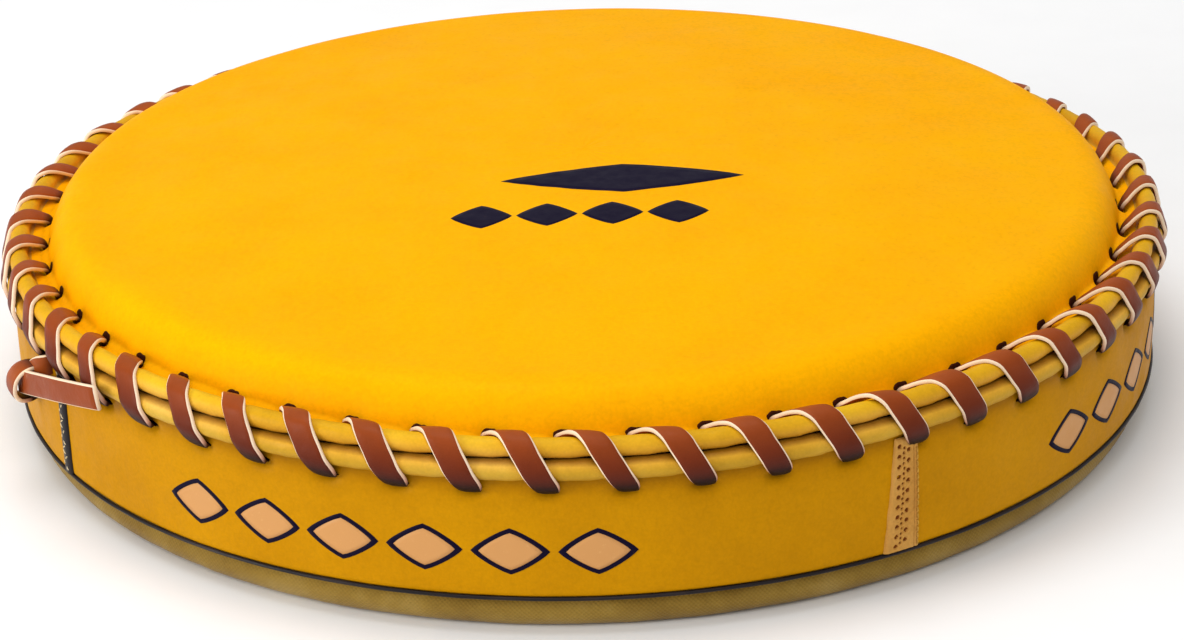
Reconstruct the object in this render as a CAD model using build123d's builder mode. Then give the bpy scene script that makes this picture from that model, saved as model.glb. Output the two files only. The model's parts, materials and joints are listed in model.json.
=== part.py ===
from build123d import *
import os
from math import cos, radians, sin

# Round kick shield: a laced leather pad on a padded base roll, with two ring-hung grips on its back.
# Millimetres, +Z up. The origin is on the floor under the middle of the pad, the struck face is up
# and the front is towards -Y. Angles run anticlockwise from +X, in degrees.

# ---- driving dimensions ----
RIM_RADIUS = 200.0  # the seam between the two rim rolls
LACE_COUNT = 53
FIRST_LACE = 111.2  # angle of the first hole in the face
LACE_PITCH = 360.0 / LACE_COUNT
LACE_SLANT = 5.8  # each stitch runs this far round before it reaches the side panel
LACE_THICKNESS = 2.0
LACE_RUN = 9.6  # width of a slanted stitch, measured round the rim: an 8 mm lace
HOLE_RING = 188.5  # radius of the ring of holes in the face
SIDE_HOLE_Z = 49.4  # height of the holes in the side panels

FACE_LEATHER = 2.5
SIDE_LEATHER = 2.2
WRAP_LEATHER = 1.4  # leather pared down where it wraps a cord
CLEAR = 0.05  # between a cord and the leather round it

FACE_ROLL = (197.3, 63.1)  # radius and height of the upper roll's centre
FACE_ROLL_SIZE = 3.2
SIDE_ROLL = (199.0, 56.6)  # the lower roll
SIDE_ROLL_SIZE = 3.4
SIDE_BOTTOM = 13.4
SIDE_INSIDE = RIM_RADIUS - SIDE_LEATHER

# the crown: a wide shallow arc, then a tight, steep shoulder down to the groove by the roll
GROOVE_START = (187.0, 63.4)
SHOULDER_RADIUS = 20.0
SHOULDER_FROM = 5.0  # slope where the shoulder starts
SHOULDER_TO = 72.0  # slope where it ends

# side panels, about a quarter of the rim each, between two piped seams and two strip seams
PIPED_SEAMS = {"left": 210.3, "right": 30.3}
STRIP_SEAMS = {"front": 299.4, "back": 119.4}
SIDE_PANELS = {
    "front": (PIPED_SEAMS["left"], STRIP_SEAMS["front"]),
    "right": (STRIP_SEAMS["front"], PIPED_SEAMS["right"] + 360),
    "back": (PIPED_SEAMS["right"], STRIP_SEAMS["back"]),
    "left": (STRIP_SEAMS["back"], PIPED_SEAMS["left"]),
}
PIPING_WIDTH = 1.6
PIPED_GAP = 0.27  # degrees from a piped seam to the panel's end
BUTT_GAP = 0.03  # degrees, under a perforated strip
SEAM_TOP = 52.8

BASE_ROLL = (190.0, 6.6)
BASE_ROLL_SIZE = 7.0
BASE_CLOTH = 1.4
PIPING_RING = (200.4, 12.2)
PIPING_RING_SIZE = 1.0

BACK_PANEL_Z = 13.8
BACK_PANEL_THICKNESS = 1.6
BOARD_Z = 15.6
BOARD_THICKNESS = 3.0
BOARD_RADIUS = 192.0
FOAM_RADIUS = 197.3
FOAM_LEVELS = (18.8, 33.1, 46.1)  # undersides of the rear, middle and soft foam
FOAM_GAP = 0.2
FOAM_CHAMFER_FOOT = (197.0, 36.0)  # the foam's edge is cut back above this, to clear the lace
FOAM_CHAMFER_HEAD = 54.0  # slope of the shoulder where that cut starts
FOAM_INSET = FACE_LEATHER + 0.3

# grips: each hangs on two rings, and each ring hangs in a leather chape riveted to the back
HINGE_X = 65.0
GRIP_Z = 6.2
RING_WIRE = 2.0  # radius of the wire
RING_REACH = 14.0  # between the ring's two long bars
RING_SPAN = 30.0  # between its two short bars
RING_CORNER = 3.0
CHAPE_Y = 72.0
CHAPE_WIDTH = 24.0
CHAPE_EYE = 2.3
CHAPE_LEATHER = 2.0
CHAPE_TOP = 11.9
CHAPE_BOTTOM = 8.0
CHAPE_START = 30.0
GRIP_X = 112.0
GRIP_HALF_WIDTH = 9.0
GRIP_HALF_HEIGHT = 5.0
GRIP_BEND = 24.0
GRIP_CORE = (6.0, 2.5)  # half width and half height
GRIP_CORE_LENGTH = 88.0
PATCH_TOP = 13.6
PATCH_X = (26.0, 61.0)
PATCH_LENGTH = 188.0
RIVET_X = (37.0, 49.0)
RIVET_HEAD = (4.0, 1.5)  # radius and height
RIVET_SHANK = 1.7
RIVET_HOLE = 1.8
RIVET_CLINCH = (2.5, 0.8)
WASHER_RADIUS = 5.5
WASHER_THICKNESS = 0.8
WASHER_POCKET = (7.0, 2.2)

os.makedirs("parts", exist_ok=True)


def save(builder, name):
    """Label a finished sub-part and write it."""
    builder.part.label = name
    export_step(builder.part, f"parts/{name}.step")


def rim_point(radius, angle, height):
    """The point at a radius, an angle and a height about the pad's axis."""
    return Vector(radius * cos(radians(angle)), radius * sin(radians(angle)), height)


def radial_plane(angle):
    """The upright half plane at an angle: its x is the radius and its y is the height."""
    outward = (cos(radians(angle)), sin(radians(angle)), 0)
    return Plane(origin=(0, 0, 0), x_dir=outward, z_dir=(outward[1], -outward[0], 0))


def wall_plane(angle, radius):
    """The upright plane that faces outward at an angle: its x runs round the rim."""
    outward = (cos(radians(angle)), sin(radians(angle)), 0)
    return Plane(
        origin=rim_point(radius, angle, 0), x_dir=(-outward[1], outward[0], 0), z_dir=outward
    )


def on_circle(centre, radius, angle):
    """A point of a circle, with the angle from the first axis."""
    return (centre[0] + radius * cos(radians(angle)), centre[1] + radius * sin(radians(angle)))


# ---- the crown's curve, shared by the face leather and the foam under it ----
SHOULDER_CENTRE = on_circle(GROOVE_START, -SHOULDER_RADIUS, 90 - SHOULDER_TO)
SHOULDER_TOP = on_circle(SHOULDER_CENTRE, SHOULDER_RADIUS, 90 - SHOULDER_FROM)
CROWN_RADIUS = SHOULDER_TOP[0] / sin(radians(SHOULDER_FROM))
CROWN_CENTRE = (0.0, SHOULDER_TOP[1] - CROWN_RADIUS * cos(radians(SHOULDER_FROM)))


def crown_curve(inset, end_slope):
    """Draw the crown from the axis to a slope of the shoulder, this far under the surface."""
    wide = CROWN_RADIUS - inset
    tight = SHOULDER_RADIUS - inset
    joint = on_circle(CROWN_CENTRE, wide, 90 - SHOULDER_FROM)
    middle = on_circle(CROWN_CENTRE, wide, 90 - SHOULDER_FROM / 2)
    bend = on_circle(SHOULDER_CENTRE, tight, 90 - (SHOULDER_FROM + end_slope) / 2)
    end = on_circle(SHOULDER_CENTRE, tight, 90 - end_slope)
    ThreePointArc((0, CROWN_CENTRE[1] + wide), middle, joint)
    ThreePointArc(joint, bend, end)
    return end


def crown_top(inset):
    """Height of the crown on the axis, this far under the surface."""
    return CROWN_CENTRE[1] + CROWN_RADIUS - inset


# ================= the laced cover =================

# face panel: crowned leather whose edge dips into a groove and then wraps the upper rim cord
with BuildPart() as face_panel:
    with BuildSketch(Plane.XZ):
        with BuildLine():
            face_wrap = FACE_ROLL_SIZE - WRAP_LEATHER
            groove = (189.8, 61.9)
            roll_start = on_circle(FACE_ROLL, FACE_ROLL_SIZE, 184)
            roll_end = on_circle(FACE_ROLL, FACE_ROLL_SIZE, -35)
            inner_end = on_circle(FACE_ROLL, face_wrap, -35)
            inner_start = on_circle(FACE_ROLL, face_wrap, 184)
            over = on_circle(FACE_ROLL, FACE_ROLL_SIZE, 75)
            inner_over = on_circle(FACE_ROLL, face_wrap, 75)
            top_edge = crown_curve(0, SHOULDER_TO)
            Polyline(top_edge, groove, roll_start)
            ThreePointArc(roll_start, over, roll_end)
            Line(roll_end, inner_end)
            ThreePointArc(inner_end, inner_over, inner_start)
            under_edge = crown_curve(FACE_LEATHER, SHOULDER_TO)
            Polyline(inner_start, (194.3, 60.4), (groove[0], groove[1] - FACE_LEATHER), under_edge)
            Line((0, crown_top(FACE_LEATHER)), (0, crown_top(0)))
        make_face()
    revolve(axis=Axis.Z)
    with PolarLocations(HOLE_RING, LACE_COUNT, start_angle=FIRST_LACE):
        with Locations((0, 0, GROOVE_START[1])):
            Box(3.2, 8.8, 12, mode=Mode.SUBTRACT)
save(face_panel, "face_panel")

# cord inside the upper roll
with BuildPart() as face_rim_cord:
    with BuildSketch(Plane.XZ):
        with Locations(FACE_ROLL):
            Circle(FACE_ROLL_SIZE - WRAP_LEATHER - CLEAR)
    revolve(axis=Axis.Z)
save(face_rim_cord, "face_rim_cord")

# four side panels: the top edge of each wraps the lower rim cord
for side, (start, end) in SIDE_PANELS.items():
    first_gap = PIPED_GAP if start in PIPED_SEAMS.values() else BUTT_GAP
    last_gap = PIPED_GAP + BUTT_GAP - first_gap
    with BuildPart() as side_panel:
        with BuildSketch(radial_plane(start + first_gap)):
            with BuildLine():
                side_wrap = SIDE_ROLL_SIZE - WRAP_LEATHER
                crease = (RIM_RADIUS, 53.35)
                wrap_end = on_circle(SIDE_ROLL, SIDE_ROLL_SIZE, 116)
                wrap_inner_end = on_circle(SIDE_ROLL, side_wrap, 116)
                wrap_inner_start = on_circle(SIDE_ROLL, side_wrap, -100)
                Line((RIM_RADIUS, SIDE_BOTTOM), crease)
                ThreePointArc(crease, on_circle(SIDE_ROLL, SIDE_ROLL_SIZE, 10), wrap_end)
                Line(wrap_end, wrap_inner_end)
                ThreePointArc(wrap_inner_end, on_circle(SIDE_ROLL, side_wrap, 8), wrap_inner_start)
                Polyline(
                    wrap_inner_start,
                    (SIDE_INSIDE, 53.6),
                    (SIDE_INSIDE, SIDE_BOTTOM),
                    (RIM_RADIUS, SIDE_BOTTOM),
                )
            make_face()
        revolve(axis=Axis.Z, revolution_arc=end - start - first_gap - last_gap)
        with PolarLocations(RIM_RADIUS, LACE_COUNT, start_angle=FIRST_LACE + LACE_SLANT):
            with Locations((0, 0, SIDE_HOLE_Z)):
                Box(8, 8.2, 4, mode=Mode.SUBTRACT)
        if side == "left":
            # slot where the end of the lace comes out
            with PolarLocations(RIM_RADIUS, 1, start_angle=207.8):
                with Locations((0, 0, 47.4)):
                    Box(8, 2.8, 9.4, mode=Mode.SUBTRACT)
    save(side_panel, f"side_panel_{side}")

# cord inside the lower roll
with BuildPart() as band_rim_cord:
    with BuildSketch(Plane.XZ):
        with Locations(SIDE_ROLL):
            Circle(SIDE_ROLL_SIZE - WRAP_LEATHER - CLEAR)
    revolve(axis=Axis.Z)
save(band_rim_cord, "band_rim_cord")

# ================= the lace =================

# one stitch, from under the face, over both rolls and into the side panel:
# radius, height, direction of travel in that plane, width, share of the slant
STITCH = (
    (188.5, 58.4, 90, 7.6, 0.0),
    (188.5, 63.6, 90, 7.6, 0.0),
    (189.6, 66.2, 50, 8.8, 0.08),
    (192.3, 67.4, 10, LACE_RUN, 0.26),
    (197.3, 67.7, -5, LACE_RUN, 0.47),
    (200.6, 66.4, -45, LACE_RUN, 0.57),
    (202.0, 63.1, -78, LACE_RUN, 0.66),
    (203.9, 56.6, -90, LACE_RUN, 0.84),
    (202.6, 53.0, -120, LACE_RUN, 0.93),
    (201.1, 50.6, -145, 8.0, 0.98),
    (198.8, 49.5, 180, 7.0, 1.0),
    (195.6, 49.4, 180, 7.0, 1.0),
)


def stitch_plane(radius, height, heading, angle):
    """The plane across a stitch: its x runs round the rim and its y is the lace's thickness."""
    outward = rim_point(1, angle, 0)
    forward = outward * cos(radians(heading)) + Vector(0, 0, sin(radians(heading)))
    return Plane(
        origin=rim_point(radius, angle, height),
        x_dir=rim_point(1, angle + 90, 0),
        z_dir=forward,
    )


with BuildPart() as stitch:
    for radius, height, heading, width, share in STITCH:
        angle = FIRST_LACE + LACE_SLANT * share
        with BuildSketch(stitch_plane(radius, height, heading, angle)):
            Rectangle(width, LACE_THICKNESS)
    loft(ruled=True)

with BuildPart() as rim_lace:
    for index in range(LACE_COUNT):
        add(stitch.part.rotate(Axis.Z, index * LACE_PITCH))
save(rim_lace, "rim_lace")

# the lace's end: out of a slot, down in a flat fold, then up and forward over two stitches
# angle, radius, height, direction of travel from the outward radius (90 is anticlockwise)
TAIL = (
    (207.8, 198.4, 47.4, 0),
    (207.7, 200.8, 47.2, -12),
    (207.0, 202.1, 46.2, -58),
    (205.2, 202.5, 43.6, -90),
    (203.2, 202.5, 40.6, -90),
    (202.3, 202.9, 39.2, -55),
    (202.0, 204.2, 38.6, 0),
    (202.3, 205.6, 38.8, 55),
    (203.2, 206.0, 39.8, 92),
    (206.5, 206.2, 43.0, 92),
    (211.0, 206.7, 47.4, 92),
    (216.0, 207.1, 52.0, 91),
    (221.0, 207.2, 56.0, 90),
)
TAIL_WIDTH = 8.2

with BuildPart() as lace_tail:
    for angle, radius, height, heading in TAIL:
        forward = rim_point(1, angle + heading, 0)
        tail_plane = Plane(
            origin=rim_point(radius, angle, height), x_dir=(0, 0, 1), z_dir=forward
        )
        with BuildSketch(tail_plane):
            Rectangle(TAIL_WIDTH, LACE_THICKNESS)
    loft(ruled=True)
save(lace_tail, "lace_tail")

# ================= trim on the side =================

# two upright pipings, left and right, between the ends of the side panels
for side, seam in PIPED_SEAMS.items():
    with BuildPart() as seam_piping:
        with BuildSketch(Plane.XY.offset(SIDE_BOTTOM + 0.2)):
            with PolarLocations(RIM_RADIUS - 0.6, 1, start_angle=seam):
                SlotOverall(3.0, PIPING_WIDTH)
        extrude(amount=SEAM_TOP - SIDE_BOTTOM - 0.2)
    save(seam_piping, f"seam_piping_{side}")

# two perforated strips over the butt joints at the front and the back
STRIP_THICKNESS = 1.0
STRIP_TOP = 46.6
STRIP_LEANS = (-9.6, 4.4, 3.8, -4.8)  # lower left, lower right, upper right, upper left
for side, seam in STRIP_SEAMS.items():
    with BuildPart() as seam_strip:
        with BuildSketch(radial_plane(seam - 4)):
            with Locations((RIM_RADIUS + 0.03 + STRIP_THICKNESS / 2, (STRIP_TOP + 13.8) / 2)):
                Rectangle(STRIP_THICKNESS, STRIP_TOP - 13.8)
        revolve(axis=Axis.Z, revolution_arc=6)
        with BuildSketch(wall_plane(seam, RIM_RADIUS - 10)):
            with BuildLine():
                Polyline(
                    (STRIP_LEANS[0], 10),
                    (STRIP_LEANS[1], 10),
                    (STRIP_LEANS[2], STRIP_TOP + 4),
                    (STRIP_LEANS[3], STRIP_TOP + 4),
                    close=True,
                )
            make_face()
        extrude(amount=20, mode=Mode.INTERSECT)
        with BuildSketch(wall_plane(seam, RIM_RADIUS - 10)):
            for row in range(11):
                with Locations((-3.4 + (row % 2) * 3.2, 16.5 + row * 2.8)):
                    Circle(0.7)
        extrude(amount=20, mode=Mode.SUBTRACT)
    save(seam_strip, f"seam_strip_{side}")

# piping all round, under the side panels' lower edge
with BuildPart() as base_piping:
    with BuildSketch(Plane.XZ):
        with Locations(PIPING_RING):
            Circle(PIPING_RING_SIZE)
    revolve(axis=Axis.Z)
save(base_piping, "base_piping")

# ================= the base and the back =================

# base binding: cloth round the base cord, with a flange up to the piping and a flat foot
with BuildPart() as base_binding:
    with BuildSketch(Plane.XZ):
        with Locations(BASE_ROLL):
            Circle(BASE_ROLL_SIZE)
        with BuildLine():
            Polyline(
                (195.3, 11.0), (198.9, 11.5), (198.9, 13.2), (192.0, 13.2), (193.5, 11.5), close=True
            )
        make_face()
        with Locations(BASE_ROLL):
            Circle(BASE_ROLL_SIZE - BASE_CLOTH, mode=Mode.SUBTRACT)
        with Locations((BASE_ROLL[0], -5)):
            Rectangle(40, 10, mode=Mode.SUBTRACT)
    revolve(axis=Axis.Z)
save(base_binding, "base_binding")

# soft cord inside the base roll
with BuildPart() as base_roll_cord:
    with BuildSketch(Plane.XZ):
        with Locations(BASE_ROLL):
            Circle(BASE_ROLL_SIZE - BASE_CLOTH - CLEAR)
    revolve(axis=Axis.Z)
save(base_roll_cord, "base_roll_cord")

RIVET_POINTS = [
    (side * x, end * CHAPE_Y) for side in (1, -1) for end in (1, -1) for x in RIVET_X
]

# back panel, inside the base roll
with BuildPart() as back_panel:
    with BuildSketch(Plane.XY.offset(BACK_PANEL_Z)):
        Circle(SIDE_INSIDE - 0.3)
        with Locations(*RIVET_POINTS):
            Circle(RIVET_HOLE, mode=Mode.SUBTRACT)
    extrude(amount=BACK_PANEL_THICKNESS)
save(back_panel, "back_panel")

# stiff board that spreads a blow over both forearms
with BuildPart() as stiffener_board:
    with BuildSketch(Plane.XY.offset(BOARD_Z)):
        Circle(BOARD_RADIUS)
        with Locations(*RIVET_POINTS):
            Circle(RIVET_HOLE, mode=Mode.SUBTRACT)
    extrude(amount=BOARD_THICKNESS)
save(stiffener_board, "stiffener_board")

# ================= the foam =================

# rear foam, with pockets over the rivet washers
with BuildPart() as rear_foam:
    with BuildSketch(Plane.XY.offset(FOAM_LEVELS[0])):
        Circle(FOAM_RADIUS)
    extrude(amount=FOAM_LEVELS[1] - FOAM_GAP - FOAM_LEVELS[0])
    with BuildSketch(Plane.XY.offset(FOAM_LEVELS[0])):
        with Locations(*RIVET_POINTS):
            Circle(WASHER_POCKET[0])
    extrude(amount=WASHER_POCKET[1], mode=Mode.SUBTRACT)
save(rear_foam, "rear_foam")

foam_shoulder = on_circle(SHOULDER_CENTRE, SHOULDER_RADIUS - FOAM_INSET, 90 - FOAM_CHAMFER_HEAD)


def chamfer_radius(height):
    """Radius of the foam's cut-back edge at a height."""
    share = (height - FOAM_CHAMFER_FOOT[1]) / (foam_shoulder[1] - FOAM_CHAMFER_FOOT[1])
    return FOAM_CHAMFER_FOOT[0] + share * (foam_shoulder[0] - FOAM_CHAMFER_FOOT[0])


# middle foam, with its top edge cut back
MIDDLE_TOP = FOAM_LEVELS[2] - FOAM_GAP
with BuildPart() as middle_foam:
    with BuildSketch(Plane.XZ):
        with BuildLine():
            Polyline(
                (0, FOAM_LEVELS[1]),
                (FOAM_CHAMFER_FOOT[0], FOAM_LEVELS[1]),
                FOAM_CHAMFER_FOOT,
                (chamfer_radius(MIDDLE_TOP), MIDDLE_TOP),
                (0, MIDDLE_TOP),
                close=True,
            )
        make_face()
    revolve(axis=Axis.Z)
save(middle_foam, "middle_foam")

# soft foam, crowned under the face
with BuildPart() as soft_foam:
    with BuildSketch(Plane.XZ):
        with BuildLine():
            edge = crown_curve(FOAM_INSET, FOAM_CHAMFER_HEAD)
            Polyline(
                edge,
                (chamfer_radius(FOAM_LEVELS[2]), FOAM_LEVELS[2]),
                (0, FOAM_LEVELS[2]),
                (0, crown_top(FOAM_INSET)),
            )
        make_face()
    revolve(axis=Axis.Z)
save(soft_foam, "soft_foam")

# ================= the grips =================

for name, side in (("right", 1), ("left", -1)):
    # leather patch on the back panel, under both chapes
    with BuildPart() as anchor_patch:
        with BuildSketch(Plane.XY.offset(CHAPE_TOP + 0.1)):
            with Locations((side * sum(PATCH_X) / 2, 0)):
                RectangleRounded(PATCH_X[1] - PATCH_X[0], PATCH_LENGTH, 8)
            with Locations(*RIVET_POINTS):
                Circle(RIVET_HOLE, mode=Mode.SUBTRACT)
        extrude(amount=PATCH_TOP - CHAPE_TOP - 0.1)
    save(anchor_patch, f"{name}_anchor_patch")

    for place, end in (("top", 1), ("bottom", -1)):
        # chape: a leather loop round the ring's inner bar, doubled and riveted flat
        with BuildPart() as chape:
            with BuildSketch(Plane.XZ.offset(-end * CHAPE_Y)):
                with Locations((side * HINGE_X, GRIP_Z)):
                    Circle(CHAPE_EYE + CHAPE_LEATHER)
                with BuildLine():
                    Polyline(
                        (side * CHAPE_START, CHAPE_BOTTOM),
                        (side * CHAPE_START, CHAPE_TOP),
                        (side * 57, CHAPE_TOP),
                        (side * HINGE_X, GRIP_Z + CHAPE_EYE + CHAPE_LEATHER),
                        (side * 62, CHAPE_BOTTOM),
                        close=True,
                    )
                make_face()
                with Locations((side * HINGE_X, GRIP_Z)):
                    Circle(CHAPE_EYE, mode=Mode.SUBTRACT)
            extrude(amount=CHAPE_WIDTH / 2, both=True)
            with BuildSketch(Plane.XY.offset(CHAPE_BOTTOM)):
                with Locations(*RIVET_POINTS):
                    Circle(RIVET_HOLE)
            extrude(amount=CHAPE_TOP - CHAPE_BOTTOM, mode=Mode.SUBTRACT)
        save(chape, f"{name}_{place}_chape")

        # ring: a rectangle of round wire, lying flat
        with BuildPart() as ring:
            inner = side * HINGE_X
            outer = side * (HINGE_X + RING_REACH)
            middle = end * CHAPE_Y
            far = end * (CHAPE_Y + RING_SPAN / 2)
            with BuildLine(Plane.XY.offset(GRIP_Z)):
                FilletPolyline(
                    (inner, middle),
                    (inner, far),
                    (outer, far),
                    (outer, middle),
                    radius=RING_CORNER,
                )
            with BuildSketch(Plane(origin=(inner, middle, GRIP_Z), z_dir=(0, end, 0))):
                Circle(RING_WIRE)
            sweep()
            mirror(about=Plane.XZ.offset(-middle))
        save(ring, f"{name}_{place}_ring")

    # grip cover: a padded leather arch with an eye at each end for the rings' outer bars
    with BuildPart() as handle_cover:
        eye_x = side * (HINGE_X + RING_REACH)
        with BuildLine(Plane.XY.offset(GRIP_Z)):
            FilletPolyline(
                (eye_x, CHAPE_Y),
                (side * GRIP_X, CHAPE_Y),
                (side * GRIP_X, -CHAPE_Y),
                (eye_x, -CHAPE_Y),
                radius=GRIP_BEND,
            )
        arch_start = Plane(origin=(eye_x, CHAPE_Y, GRIP_Z), x_dir=(0, 1, 0), z_dir=(side, 0, 0))
        with BuildSketch(arch_start):
            Ellipse(GRIP_HALF_WIDTH, GRIP_HALF_HEIGHT)
        sweep()
        for end in (1, -1):
            with BuildSketch(Plane.XZ.offset(-end * CHAPE_Y)):
                with Locations((eye_x, GRIP_Z)):
                    Circle(GRIP_HALF_HEIGHT)
            extrude(amount=CHAPE_WIDTH / 2, both=True)
        for end in (1, -1):
            with BuildSketch(Plane.XZ.offset(-end * CHAPE_Y)):
                with Locations((eye_x, GRIP_Z)):
                    Circle(CHAPE_EYE)
            extrude(amount=CHAPE_WIDTH, both=True, mode=Mode.SUBTRACT)
        with BuildSketch(Plane.XZ):
            with Locations((side * GRIP_X, GRIP_Z)):
                Ellipse(GRIP_CORE[0] + CLEAR, GRIP_CORE[1] + CLEAR)
        extrude(amount=GRIP_CORE_LENGTH / 2 + CLEAR, both=True, mode=Mode.SUBTRACT)
    save(handle_cover, f"{name}_handle_cover")

    # soft core of the grip
    with BuildPart() as handle_core:
        with BuildSketch(Plane.XZ):
            with Locations((side * GRIP_X, GRIP_Z)):
                Ellipse(*GRIP_CORE)
        extrude(amount=GRIP_CORE_LENGTH / 2, both=True)
    save(handle_core, f"{name}_handle_core")

# eight rivets, up through chape, patch, panel and board
BOARD_TOP = BOARD_Z + BOARD_THICKNESS
WASHER_Z = BOARD_TOP + CLEAR
CLINCH_Z = WASHER_Z + WASHER_THICKNESS + CLEAR
with BuildPart() as chape_rivets:
    with BuildSketch(Plane.XY.offset(CHAPE_BOTTOM - CLEAR)):
        with Locations(*RIVET_POINTS):
            Circle(RIVET_HEAD[0])
    extrude(amount=-RIVET_HEAD[1])
    fillet(chape_rivets.faces().group_by(Axis.Z)[0].edges(), 1.0)
    with BuildSketch(Plane.XY.offset(CHAPE_BOTTOM - CLEAR)):
        with Locations(*RIVET_POINTS):
            Circle(RIVET_SHANK)
    extrude(amount=CLINCH_Z - CHAPE_BOTTOM + CLEAR)
    with BuildSketch(Plane.XY.offset(CLINCH_Z)):
        with Locations(*RIVET_POINTS):
            Circle(RIVET_CLINCH[0])
    extrude(amount=RIVET_CLINCH[1])
save(chape_rivets, "chape_rivets")

# the washers they are clinched over
with BuildPart() as rivet_washers:
    with BuildSketch(Plane.XY.offset(WASHER_Z)):
        with Locations(*RIVET_POINTS):
            Circle(WASHER_RADIUS)
            Circle(RIVET_HOLE, mode=Mode.SUBTRACT)
    extrude(amount=WASHER_THICKNESS)
save(rivet_washers, "rivet_washers")
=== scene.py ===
import json
import random
from math import atan2, ceil, cos, degrees, exp, floor, hypot, pi, radians, sin, sqrt, tanh

import bpy
from mathutils import Matrix, Vector, noise


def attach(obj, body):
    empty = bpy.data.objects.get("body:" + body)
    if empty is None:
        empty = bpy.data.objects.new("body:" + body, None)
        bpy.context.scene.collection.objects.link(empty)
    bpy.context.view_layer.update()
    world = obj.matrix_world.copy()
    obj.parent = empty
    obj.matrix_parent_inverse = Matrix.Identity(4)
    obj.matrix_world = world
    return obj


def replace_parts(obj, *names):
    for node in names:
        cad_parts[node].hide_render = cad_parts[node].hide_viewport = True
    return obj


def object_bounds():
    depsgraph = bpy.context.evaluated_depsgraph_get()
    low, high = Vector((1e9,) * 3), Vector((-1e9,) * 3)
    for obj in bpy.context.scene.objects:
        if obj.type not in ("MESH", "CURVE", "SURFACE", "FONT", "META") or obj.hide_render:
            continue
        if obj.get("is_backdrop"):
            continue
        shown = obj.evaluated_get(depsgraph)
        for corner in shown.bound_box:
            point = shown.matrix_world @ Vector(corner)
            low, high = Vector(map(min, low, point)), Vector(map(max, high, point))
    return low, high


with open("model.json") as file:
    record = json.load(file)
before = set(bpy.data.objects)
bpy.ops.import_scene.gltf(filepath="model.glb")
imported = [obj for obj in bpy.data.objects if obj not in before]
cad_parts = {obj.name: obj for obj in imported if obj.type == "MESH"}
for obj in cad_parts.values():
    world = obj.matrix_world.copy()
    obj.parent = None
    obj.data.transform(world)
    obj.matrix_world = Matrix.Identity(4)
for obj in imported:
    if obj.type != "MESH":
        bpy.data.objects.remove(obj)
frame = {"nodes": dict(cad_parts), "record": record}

# A round kick shield on a pale floor. Lengths below are millimetres, as on the drawing, and MM turns
# them into Blender's metres. Angles are in degrees, anticlockwise from +X; the front is towards -Y.
MM = 0.001
cad_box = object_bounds()
chance = random.Random(53)

# ---- the drawing's sizes that several pieces share ----
RIM_RADIUS = 200.0
LACE_COUNT = 53
FIRST_LACE = 111.2
LACE_PITCH = 360.0 / LACE_COUNT
LACE_SLANT = 5.8
HOLE_RING = 188.5
SIDE_HOLE_Z = 49.4
FACE_ROLL = (197.3, 63.1)
FACE_ROLL_SIZE = 3.2
SIDE_ROLL = (199.0, 56.6)
SIDE_ROLL_SIZE = 3.4
SIDE_BOTTOM = 13.4
GROOVE_START = (187.0, 63.4)
GROOVE = (189.8, 61.9)
SHOULDER_RADIUS = 20.0
SHOULDER_FROM = 5.0
SHOULDER_TO = 72.0
RIM_SAG = 3.4
LESS_AT_LEFT = 2.2
COLUMNS_PER_STITCH = 14
PIPED_SEAMS = {"left": 210.3, "right": 30.3}
STRIP_SEAMS = {"front": 299.4, "back": 119.4}
SIDE_PANELS = {
    "front": (PIPED_SEAMS["left"], STRIP_SEAMS["front"]),
    "right": (STRIP_SEAMS["front"], PIPED_SEAMS["right"] + 360),
    "back": (PIPED_SEAMS["right"], STRIP_SEAMS["back"]),
    "left": (STRIP_SEAMS["back"], PIPED_SEAMS["left"]),
}
BASE_ROLL = (190.0, 6.6)
BASE_ROLL_SIZE = 7.0
BACK_PANEL_Z = 13.8
BACK_EDGE = 187.0
CHAPE_Y = 72.0
GRIP_X = 112.0
GRIP_Z = 6.2
EYE_X = 79.0
GRIP_BEND = 24.0
GRIP_SIDES = 28


# ---- geometry helpers ----

def on_circle(centre, radius, angle):
    """A point of a circle, with the angle from the first axis."""
    return (centre[0] + radius * cos(radians(angle)), centre[1] + radius * sin(radians(angle)))


def arc(centre, radius, start, end, count):
    """Points along an arc, both ends included."""
    return [
        on_circle(centre, radius, start + (end - start) * step / (count - 1))
        for step in range(count)
    ]


def line(start, end, count):
    """Points along a straight line, without its first point."""
    return [
        tuple(a + (b - a) * step / count for a, b in zip(start, end))
        for step in range(1, count + 1)
    ]


def bell(distance, width):
    """1 at the middle, falling smoothly to 0."""
    return exp(-((distance / width) ** 2))


def rim_point(radius, angle, height):
    return Vector((radius * cos(radians(angle)), radius * sin(radians(angle)), height))


def rough(x, y, z=0.0):
    """Smooth noise from -1 to 1."""
    return noise.noise(Vector((x, y, z)))


def lace_phase(angle):
    """How far an angle is between one hole in the face and the next, from 0 to 1."""
    return ((angle - FIRST_LACE) / LACE_PITCH) % 1.0


def from_phase(angle, phase):
    """Distance round the rim to the nearest stitch's place with that phase, in millimetres."""
    return ((lace_phase(angle) - phase + 0.5) % 1.0 - 0.5) * radians(LACE_PITCH) * RIM_RADIUS


def clamped(share):
    return min(1.0, max(0.0, share))


def eased(share):
    """0 below 0, 1 above 1, and a soft rise between them."""
    share = clamped(share)
    return share * share * (3 - 2 * share)


def rim_sag(angle):
    """How much lower the laced rim lies towards the back, where it is pulled down harder."""
    depth = RIM_SAG - LESS_AT_LEFT * eased((-cos(radians(angle)) - 0.1) / 0.4)
    return depth * eased((sin(radians(angle)) - 0.05) / 0.5)


def mark(piece, name, values):
    """A number for each point of a piece, which its material reads."""
    attribute = piece.data.attributes.new(name, "FLOAT", "POINT")
    attribute.data.foreach_set("value", values)


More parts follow.
